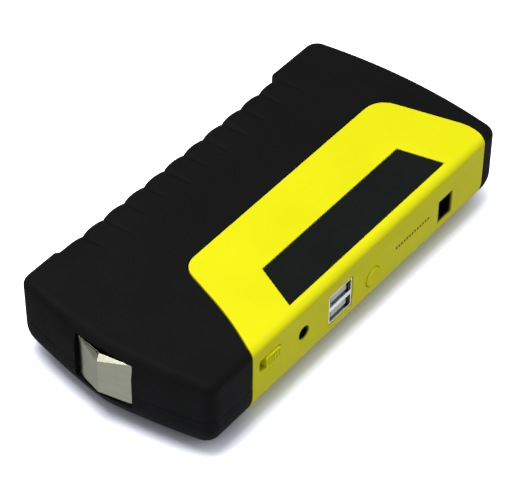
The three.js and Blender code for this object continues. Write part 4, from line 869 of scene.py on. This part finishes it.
def build_hammer():
    """The window breaker: two ground faces meet in a ridge, bevelled above, cut under below."""
    lean = NOSE_POINT * (HAMMER_HALF_WIDTH / (WIDTH / 2)) ** NOSE_CURVE
    sides = -LENGTH / 2 + lean + HAMMER_SUNK
    reach = HAMMER_HALF_WIDTH + HAMMER_FLANGE
    flange_front = -LENGTH / 2 + LINING + GAP + NOSE_POINT * (reach / (WIDTH / 2)) ** NOSE_CURVE
    ridge, back = sides - HAMMER_POINT, flange_front + 1
    half, low, high = HAMMER_HALF_WIDTH, HAMMER_BASE, HAMMER_TOP
    section = [(-half, low), (half, low), (half, high), (-half, high)]
    points = [(x, y, z) for x in (sides, back) for y, z in section]
    points += [(ridge, 0, low + HAMMER_BEVEL), (ridge, 0, high - HAMMER_BEVEL)]
    points.append((ridge + HAMMER_APEX, 0, high + HAMMER_CROWN))
    faces = [(0, 8, 9, 3), (1, 2, 9, 8)]  # the two ground faces
    faces += [(3, 9, 10), (2, 10, 9)]  # bevels
    faces += [(3, 10, 2), (0, 1, 8)]  # crown and foot
    faces += [(0, 3, 7, 4), (1, 5, 6, 2), (3, 2, 6, 7), (0, 4, 5, 1), (4, 7, 6, 5)]  # neck
    head = Solid(points, faces)

    def on_back_crown(place):
        return place.y > 1 and place.z > high + NEAR

    def on_point(place):
        return place.x < sides + NEAR

    round_edges(head, CROWN_EDGE, angle=8, segments=3, keep=on_back_crown)
    round_edges(head, HAMMER_EDGE, angle=25, segments=3, keep=on_point)
    middle, height = (low + high) / 2 - HAMMER_FLANGE_DROP, high - low + HAMMER_FLANGE_RISE
    flange = rectangle(0, middle, 2 * reach, height, 1)
    head += along_x(flange, flange_front, flange_front + HAMMER_FLANGE_THICK)
    piece("steel_hammer", head, "steel", "hammer_head", sharp=25)


# ---- ports and controls


def build_usb():
    """The stacked double USB-A socket: a tin shell, two tongues with their strips, and a black
    block in the right side of each mouth that paints the shade there.
    """
    front, back = SIDE + USB_RECESS, SIDE + USB_RECESS + USB_DEPTH
    z = BOARD_SEAT + USB_HEIGHT / 2
    inset = USB_SHEET + USB_PORT_HEIGHT / 2
    ports = [BOARD_SEAT + inset, BOARD_SEAT + USB_HEIGHT - inset]
    port_width = USB_WIDTH - 2 * USB_SHEET
    shell = along_y(rectangle(USB_X, z, USB_WIDTH, USB_HEIGHT, USB_CORNER), front, back)
    for port_z in ports:
        mouth = rectangle(USB_X, port_z, port_width, USB_PORT_HEIGHT, USB_PORT_CORNER)
        shell -= along_y(mouth, front - 1, back + 1)
    rear = rectangle(USB_X, z, port_width, USB_HEIGHT - 2 * USB_SHEET)
    shell -= along_y(rear, back - USB_BACK, back + 1)
    round_front(shell, PORT_EDGE, front)
    piece("usb_sheet", shell, "tin_plate", "usb_shell")

    width, height = port_width - 2 * GAP, USB_HEIGHT - 2 * USB_SHEET - 2 * GAP
    core = along_y(rectangle(USB_X, z, width, height), back - USB_BACK + GAP, back)
    root_front, tongue_front = back - USB_BACK - USB_ROOT, front + USB_TONGUE_RECESS
    strips = []
    for port_z in ports:
        root = rectangle(USB_X, port_z, width, USB_PORT_HEIGHT - 2 * GAP)
        tongue_z = port_z - USB_TONGUE_DROP
        tongue = rectangle(USB_X, tongue_z, USB_TONGUE_WIDTH, USB_TONGUE, 0.2)
        core += along_y(root, root_front, back - 1)
        core += along_y(tongue, tongue_front, back - 1)
        strip_z = tongue_z - USB_TONGUE / 2 - 0.08  # a little of each strip shows below
        for k in range(USB_STRIPS):
            x = USB_X + (k - (USB_STRIPS - 1) / 2) * USB_STRIP_PITCH
            strip = rectangle(x, strip_z, USB_STRIP_WIDTH, USB_STRIP_THICK)
            strips.append(along_y(strip, tongue_front + USB_STRIP_RECESS, root_front))
    round_front(core, PORT_EDGE, tongue_front)
    piece("usb_tongues", core, "white_plastic", "usb_insulator")
    # painted shade: a black block in the right side of each mouth, where the mouth lies in shade
    for k, port_z in enumerate(ports):
        x = USB_X + (port_width - USB_SHADE_BLOCK) / 2 - 0.02
        shade_block = rectangle(x, port_z, USB_SHADE_BLOCK, USB_PORT_HEIGHT - 0.1)
        shade_block = along_y(shade_block, front + USB_SHADE_BLOCK_RECESS, root_front - 0.2)
        piece(f"usb_shade_block_{k + 1}", shade_block, "black_plastic")
    for k, strip in enumerate(strips):
        piece(f"usb_strip_{k + 1}", strip, "brass")


def build_dot_tips():
    """Smoked tips of the light pipe in the row of fine holes, on one strip behind the cover."""
    length = DOTS * DOT_PITCH
    back = SIDE + WALL + 0.05
    strip = along_y(rectangle(DOTS_X, DOTS_Z, length, 2), back, back + 0.2)
    for x in dot_places():
        tip = rectangle(x, DOTS_Z, DOT_WIDTH - 0.06, DOT_HEIGHT - 0.06, DOT_CORNER, 3)
        strip += along_y(tip, SIDE + DOT_TIP_RECESS, back + 0.1)
    piece("indicator_tips", strip, "black_plastic")


def build_inlet():
    """The round charging inlet: a body behind the cover, a collar in its hole and a centre pin."""
    front = SIDE + WALL + GAP
    top = INLET_Z + INLET_RISE
    bore = disc(INLET_X, INLET_Z, INLET_BORE)
    body = rectangle(INLET_X, (BOARD_SEAT + top) / 2, INLET_WIDTH, top - BOARD_SEAT, 0.8)
    jack = along_y(body, front, front + INLET_DEPTH)
    jack -= along_y(bore, front - 1, front + INLET_DEPTH - INLET_FLOOR)
    round_front(jack, INLET_EDGE, front)
    collar = along_y(disc(INLET_X, INLET_Z, INLET_HOLE - 0.05), SIDE + COLLAR, front + 0.5)
    jack += collar - along_y(bore, SIDE, front + 1)
    piece("inlet_body", jack, "black_plastic", "dc_input_jack")
    tip = [(0, 0), (1.05, 0), (1.05, 8.6), (0.95, 9), (0.7, 9.35), (0.35, 9.5), (0, 9.5)]
    foot = front + INLET_DEPTH - INLET_FLOOR - GAP
    pin = laid(revolve(tip, 24), "-Y", INLET_X, foot, INLET_Z)
    piece("inlet_pin", pin, "tin_plate", "dc_input_pin")


def build_outlet():
    """The square outlet: a rim, a square well, a round bore behind it and a centre pin."""
    front = SIDE + OUTLET_RIM / 2
    back = front + OUTLET_DEPTH
    width, height = OUTLET_WIDTH - 2 * OUTLET_RIM, OUTLET_HEIGHT - 2 * OUTLET_RIM
    body = rectangle(OUTLET_X, OUTLET_Z, OUTLET_WIDTH, OUTLET_HEIGHT, OUTLET_CORNER)
    well = rectangle(OUTLET_X, OUTLET_Z, width, height, OUTLET_CORNER)
    jack = along_y(body, front, back) - along_y(well, front - 1, front + OUTLET_WELL)
    jack -= along_y(disc(OUTLET_X, OUTLET_Z, OUTLET_BORE), front, back - OUTLET_FLOOR)
    round_front(jack, OUTLET_EDGE, front)
    piece("outlet_body", jack, "black_plastic", "dc_output_jack")
    tip = [(0, 0), (0.8, 0), (0.8, 6.8), (0.65, 7.15), (0.3, 7.3), (0, 7.3)]
    foot = back - OUTLET_FLOOR - GAP
    pin = laid(revolve(tip, 20), "-Y", OUTLET_X, foot, OUTLET_Z)
    piece("outlet_pin", pin, "tin_plate", "dc_output_pin")


def build_button():
    """A dished press button, turned about the axis that points out of the side."""
    back = -(WALL + GAP)
    stem_back, flange_back = back - BUTTON_STEM_END, back - BUTTON_FLANGE_THICK
    profile = [(0, stem_back), (BUTTON_STEM, stem_back), (BUTTON_STEM, flange_back)]
    profile += [(BUTTON_FLANGE, flange_back), (BUTTON_FLANGE, back), (BUTTON_RADIUS, back)]
    turn = (BUTTON_RADIUS - BUTTON_TURN, BUTTON_PROUD - BUTTON_TURN)
    profile += arc(*turn, BUTTON_TURN, 0, 90, 6)
    for k in range(1, 8):
        across = 1 - k / 8
        radius = (BUTTON_RADIUS - BUTTON_DISH_INSET) * across
        profile.append((radius, BUTTON_PROUD - BUTTON_DISH * smooth(1 - across)))
    profile.append((0, BUTTON_PROUD - BUTTON_DISH))
    below = rectangle(0, GAP - BUTTON_RADIUS - 5, 20, 10)  # what stands clear of the base wall
    flat = upright(below, back - 5, back + 0.1)
    button = laid(revolve(profile, 64) - flat, "-Y", BUTTON_X, SIDE, BUTTON_Z)
    piece("press_button", button, "yellow_shell", "power_button", body="power_button", sharp=50)


def build_selector():
    """The thumb slide: a grooved knob, a flange behind the cover and a peg to the switch."""
    front = SIDE + WALL + GAP
    outer_face = SIDE - SELECTOR_PROUD

    def at_knob(width, height, radius=0.0):
        return rectangle(SELECTOR_X, SELECTOR_Z, width, height, radius)

    knob = at_knob(SELECTOR_WIDTH, SELECTOR_HEIGHT, SELECTOR_CORNER)
    knob = along_y(knob, outer_face, front + 0.4)
    for k in range(SELECTOR_GROOVES):
        x = SELECTOR_X + (k - (SELECTOR_GROOVES - 1) / 2) * GROOVE_PITCH
        groove = rectangle(x, SELECTOR_Z, GROOVE_WIDTH, SELECTOR_HEIGHT - 1, 0.2)
        knob -= along_y(groove, outer_face - 1, outer_face + GROOVE_DEPTH)
    round_front(knob, KNOB_EDGE, outer_face)
    flange = at_knob(SELECTOR_WIDTH, SELECTOR_HEIGHT + 2 * SELECTOR_FLANGE, 0.5)
    knob += along_y(flange, front, front + SELECTOR_FLANGE_THICK)
    knob += along_y(at_knob(SELECTOR_PEG, SELECTOR_PEG), front + 0.4, front + 3.8)
    piece("slide_knob", knob, "yellow_shell", "selector_knob", body="selector")


# ---- lamp and jump socket


def build_lamp():
    """The lamp in the far end: a clear window, a block with a cup for each light, the lights."""
    face = casing(GAP, fine=True) & lamp_region(-GAP)
    round_edges(face, OUTER_EDGE, angle=50)
    rim = casing(WALL + GAP) & lamp_region(LENS_RIM)
    lens = (face + rim) - casing(WALL + GAP + LENS_RIM_THICK)
    piece("lamp_window", lens, "clear_plastic", "lamp_lens")

    edge = far_face(abs(LAMP_Y) + LAMP_WIDTH / 2 + LENS_RIM)
    front = edge - WALL - GAP - LENS_RIM_THICK - GAP
    back = front - REFLECTOR_DEPTH
    block = along_x(rectangle(LAMP_Y, LAMP_Z, LAMP_WIDTH - 1, LAMP_HEIGHT - 1, 2), back, front)
    hole = LED_RADIUS + GAP
    places = [LAMP_Y + (k - (LEDS - 1) / 2) * LED_PITCH for k in range(LEDS)]
    cup = [(0, -1), (hole, -1), (hole, REFLECTOR_FOOT)]
    for k in range(1, 11):
        radius = hole + (CUP_RADIUS - hole) * math.sqrt(k / 10)
        cup.append((radius, REFLECTOR_FOOT + (REFLECTOR_DEPTH - REFLECTOR_FOOT) * k / 10))
    cup += [(CUP_RADIUS, REFLECTOR_DEPTH + 1), (0, REFLECTOR_DEPTH + 1)]
    for y in places:
        block -= laid(revolve(cup, 40), "+X", back, y, LAMP_Z)
    piece("lamp_cups", block, "reflector", "lamp_reflector")
    dome = [(0, 0), (LED_RADIUS, 0), (LED_RADIUS, LED_BARREL)]
    for t in (0.3, 0.6, 0.9, 1.2, 1.4):
        dome.append((LED_RADIUS * math.cos(t), LED_BARREL + LED_DOME * math.sin(t)))
    dome.append((0, LED_BARREL + LED_DOME))
    for k, y in enumerate(places):
        body = laid(revolve(dome, 24), "+X", back, y, LAMP_Z)
        piece(f"led_dome_{k + 1}", body, "led", f"lamp_led_{k + 1}")


def build_jump_socket():
    """The two-pole socket for the clamp leads."""
    front = socket_front()
    rear = front - SOCKET_DEPTH
    body = along_x(rectangle(SOCKET_Y, SOCKET_Z, SOCKET_WIDTH, SOCKET_HEIGHT, 2), rear, front)
    mouth = rectangle(SOCKET_Y, SOCKET_Z, MOUTH_WIDTH, MOUTH_HEIGHT, 1)
    body -= along_x(mouth, rear + SOCKET_FLOOR, front + 1)
    length = SOCKET_DEPTH - CONTACT_RECESS + CONTACT_TAIL
    contact = [(0, 0), (CONTACT_RADIUS, 0), (CONTACT_RADIUS, length - 0.3)]
    contact += [(CONTACT_RADIUS - 0.3, length), (CONTACT_BORE + 0.2, length)]
    contact += [(CONTACT_BORE, length - 0.2), (CONTACT_BORE, length - CONTACT_BORE_DEPTH)]
    contact.append((0, length - CONTACT_BORE_DEPTH - 1))
    for side, name in ((-1, "negative"), (1, "positive")):
        y = SOCKET_Y + side * CONTACT_PITCH / 2
        body -= along_x(disc(y, SOCKET_Z, CONTACT_RADIUS + GAP), rear - 1, front)
        tube = laid(revolve(contact, 40), "+X", rear - CONTACT_TAIL, y, SOCKET_Z)
        piece(f"contact_tube_{name}", tube, "brass", f"jump_contact_{name}")
    round_edges(body, SOCKET_EDGE, keep=lambda place: place.x > front - NEAR)
    piece("socket_block", body, "blue_plastic", "jump_socket")


def build_door():
    """The rubber door over the jump socket: a leaf, a knuckle on its pin and a hollow plug."""
    leaf = (outer - casing(DOOR_THICK)) & door_region(0)
    outside = rectangle(LENGTH / 2, HINGE_Y - DOOR_WIDTH, 40, 2 * DOOR_WIDTH)
    leaf &= upright(outside, 0, HEIGHT)
    round_edges(leaf, DOOR_EDGE, on=outer_tree)
    width, height = MOUTH_WIDTH - DOOR_PLUG_ROOM[0], MOUTH_HEIGHT - DOOR_PLUG_ROOM[1]
    foot, tip = far_face(SOCKET_Y + width / 2) - DOOR_THICK, socket_front() - DOOR_PLUG
    plug = along_x(rectangle(SOCKET_Y, SOCKET_Z, width, height, 1.5), tip, LENGTH / 2)
    inner_width, inner_height = width - 2 * DOOR_PLUG_WALL, height - 2 * DOOR_PLUG_WALL
    hollow = rectangle(SOCKET_Y, SOCKET_Z, inner_width, inner_height, 0.8)
    plug = (plug - along_x(hollow, tip - 1, foot + 0.2)) & casing(DOOR_THICK / 2)
    door = leaf + hinge_rod(HINGE_KNUCKLE, 0) + plug - hinge_rod(HINGE_PIN + GAP, 1)
    piece("rubber_door", door, "rubber", "jump_cover", body="jump_cover")
    pin = hinge_rod(HINGE_PIN, HINGE_REACH - GAP)
    round_edges(pin, PIN_EDGE)
    piece("door_pin", pin, "screw_steel", "jump_cover_pin")


# ---- screws under the base


def build_screws():
    """The cross-head screws that close the shells, head down in their wells."""
    end = SCREW_HEAD_HEIGHT + SCREW_LENGTH
    profile = [(0, 0), (1.2, 0.02), (1.8, 0.12), (2.2, 0.32), (SCREW_HEAD, 0.8)]
    profile += [(SCREW_HEAD, SCREW_HEAD_HEIGHT), (SCREW_RADIUS, SCREW_HEAD_HEIGHT)]
    profile += [(SCREW_RADIUS, end - 1), (0, end)]
    for k, (x, y) in enumerate(SHELL_SCREW_PLACES):
        screw = revolve(profile, 32)
        for size in ((SCREW_SLOT, SCREW_SLOT_WIDTH), (SCREW_SLOT_WIDTH, SCREW_SLOT)):
            screw -= upright(rectangle(0, 0, *size), -1, SCREW_SLOT_DEPTH)
        moved(screw, Matrix.Translation((x, y, SCREW_SEAT - SCREW_HEAD_HEIGHT - GAP)))
        piece(f"case_screw_{k + 1}", screw, "screw_steel", f"shell_screw_{k + 1}")


build_hammer()
build_dot_tips()
build_usb()
build_inlet()
build_outlet()
build_button()
build_selector()
build_lamp()
build_jump_socket()
build_door()
build_screws()

# ---- studio and camera

FLOOR_PALE = (0.84, 0.86, 0.95)  # as the camera sees it lit
FLOOR_DULL = (0.45, 0.45, 0.46)  # as it lights the object
FLOOR_SIZE, FLOOR_DROP = 6, 0.0002
SKY_COLOR, SKY_STRENGTH = (0.96, 0.98, 1.0), 0.24
# bluish glow, which tints the edge of the painted shadow blue
GLOW_COLOR = (0.88, 0.90, 1.0)
GLOW, GLOW_REFLECTED = 1.4, 0.2  # strength to the camera and in reflections
PAINTED_SHADOW_REACH, PAINTED_SHADOW_POWER, PAINTED_SHADOW_SAMPLES = 0.011, 2.5, 16  # painted shadow: the glow dies towards the object by ambient occlusion, so the floor darkens round its foot


def flat_card(name, width, height):
    """A flat rectangle that faces up, about its own middle."""
    mesh = bpy.data.meshes.new(name)
    corners = [(x, y, 0) for x, y in rectangle(0, 0, width, height)]
    mesh.from_pydata(corners, [], [(0, 1, 2, 3)])
    return new_object(name, mesh)


def build_floor():
    """A pale floor: white to the eye and in reflections, duller in the light it throws back. Its
    glow fades near the object, which paints a shadow round the object's foot.
    """
    floor = flat_card("studio_floor", FLOOR_SIZE, FLOOR_SIZE)
    floor.location.z = -FLOOR_DROP
    material = bpy.data.materials.new("studio_floor")
    material.use_nodes = True
    material.node_tree.nodes.remove(shader_of(material))

    def calculated(operation, *inputs):
        step = add_node(material, "Math", *inputs)
        step.operation = operation
        return step.outputs[0]

    def diffuse(color):
        return add_node(material, "BsdfDiffuse", (*color, 1)).outputs[0]

    rays = add_node(material, "LightPath").outputs
    seen = calculated("MAXIMUM", rays["Is Camera Ray"], rays["Is Glossy Ray"])
    seen = calculated("MAXIMUM", seen, rays["Is Transmission Ray"])
    # painted shadow: ambient occlusion turns the glow down near the object
    painted_shadow_occlusion = add_node(material, "AmbientOcclusion", Distance=PAINTED_SHADOW_REACH)
    painted_shadow_occlusion.samples = PAINTED_SHADOW_SAMPLES
    painted_shadow_fade = calculated("POWER", painted_shadow_occlusion.outputs["AO"], PAINTED_SHADOW_POWER)
    shown = (rays["Is Camera Ray"], GLOW - GLOW_REFLECTED, GLOW_REFLECTED)
    strength = calculated("MULTIPLY", painted_shadow_fade, calculated("MULTIPLY_ADD", *shown))
    glow = add_node(material, "Emission", (*GLOW_COLOR, 1), strength).outputs[0]
    white = add_node(material, "AddShader", diffuse(FLOOR_PALE), glow).outputs[0]
    surface = add_node(material, "MixShader", seen, diffuse(FLOOR_DULL), white).outputs[0]
    feed(material.node_tree.nodes["Material Output"], Surface=surface)
    floor.data.materials.append(material)


def build_world():
    world = bpy.data.worlds.new("studio")
    world.use_nodes = True
    feed(world.node_tree.nodes["Background"], (*SKY_COLOR, 1), SKY_STRENGTH)
    bpy.context.scene.world = world


def aim(obj, target, axis):
    """Turns an object so that one of its axes points from its place at a target."""
    way = Vector(target) - obj.location
    obj.rotation_euler = way.to_track_quat(axis, "Y").to_euler()


def softbox(name, location, size, watts, gloss_only=False):
    """A rectangular lamp aimed at the object's middle, or one that shows in reflections only."""
    light = bpy.data.lights.new(name, "AREA")
    light.shape = "RECTANGLE"
    light.size, light.size_y = size
    light.energy = watts
    lamp = new_object(name, light)
    lamp.location = location
    aim(lamp, (0, 0, 0.017), "-Z")
    lamp.visible_diffuse = not gloss_only


def build_flag(name, location, target, size, shade):
    """A card that shows in reflections only, for the hammer's faces that look to the +Y side."""
    flag = flat_card(name, *size)
    flag.location = location
    aim(flag, target, "Z")
    flag.visible_camera = flag.visible_diffuse = False
    flag.visible_shadow = flag.visible_transmission = False
    card = node_material(name, (shade, shade, shade), 1, Specular_IOR_Level=0)
    flag.data.materials.append(card)


CAMERA_AZIMUTH, CAMERA_ELEVATION, CAMERA_ROLL = -52.5, 43.7, 0.6  # degrees
CAMERA_DISTANCE, CAMERA_LENS, CAMERA_SENSOR = 0.810, 157.2, 36
CAMERA_SHIFT = (0.0017, -0.0172)


def build_camera():
    """A long lens from above the nose corner of the port side."""
    azimuth, elevation = math.radians(CAMERA_AZIMUTH), math.radians(CAMERA_ELEVATION)
    roll = math.radians(CAMERA_ROLL)
    level = math.cos(elevation)
    back = Vector((math.sin(azimuth) * level, -math.cos(azimuth) * level, math.sin(elevation)))
    right = (-back).cross(Vector((0, 0, 1))).normalized()
    up = right.cross(-back)
    turned_right = math.cos(roll) * right + math.sin(roll) * up
    turned_up = math.cos(roll) * up - math.sin(roll) * right
    position = back * CAMERA_DISTANCE + Vector((0, 0, HEIGHT / 2 * MM))
    lens = bpy.data.cameras.new("camera")
    lens.sensor_width = CAMERA_SENSOR
    lens.lens = CAMERA_LENS
    lens.shift_x, lens.shift_y = CAMERA_SHIFT
    lens.clip_start = 0.01
    camera = new_object("camera", lens)
    axes = Matrix((turned_right, turned_up, back)).transposed()
    camera.matrix_world = Matrix.Translation(position) @ axes.to_4x4()
    bpy.context.scene.camera = camera


build_floor()
build_world()
softbox("key", (-0.2, 0.06, 1.0), (0.42, 0.42), 8.2)
softbox("fill", (0.45, -0.8, 0.45), (0.6, 0.5), 1.2)
softbox("edge", (-0.9, 0.0, 0.12), (0.4, 0.2), 1.5, gloss_only=True)
softbox("rim", (-0.12, 0.36, 0.46), (0.3, 0.3), 0.9, gloss_only=True)
build_flag("flag_upright", (-0.17, 0.13, 0.06), (-0.09, 0, 0.06), (0.24, 0.12), 0.004)
build_flag("flag_low", (-0.10, 0.063, 0.001), (-0.10, 0.063, 1), (0.08, 0.114), 0.7)
build_camera()
bpy.context.scene.view_settings.view_transform = "Standard"
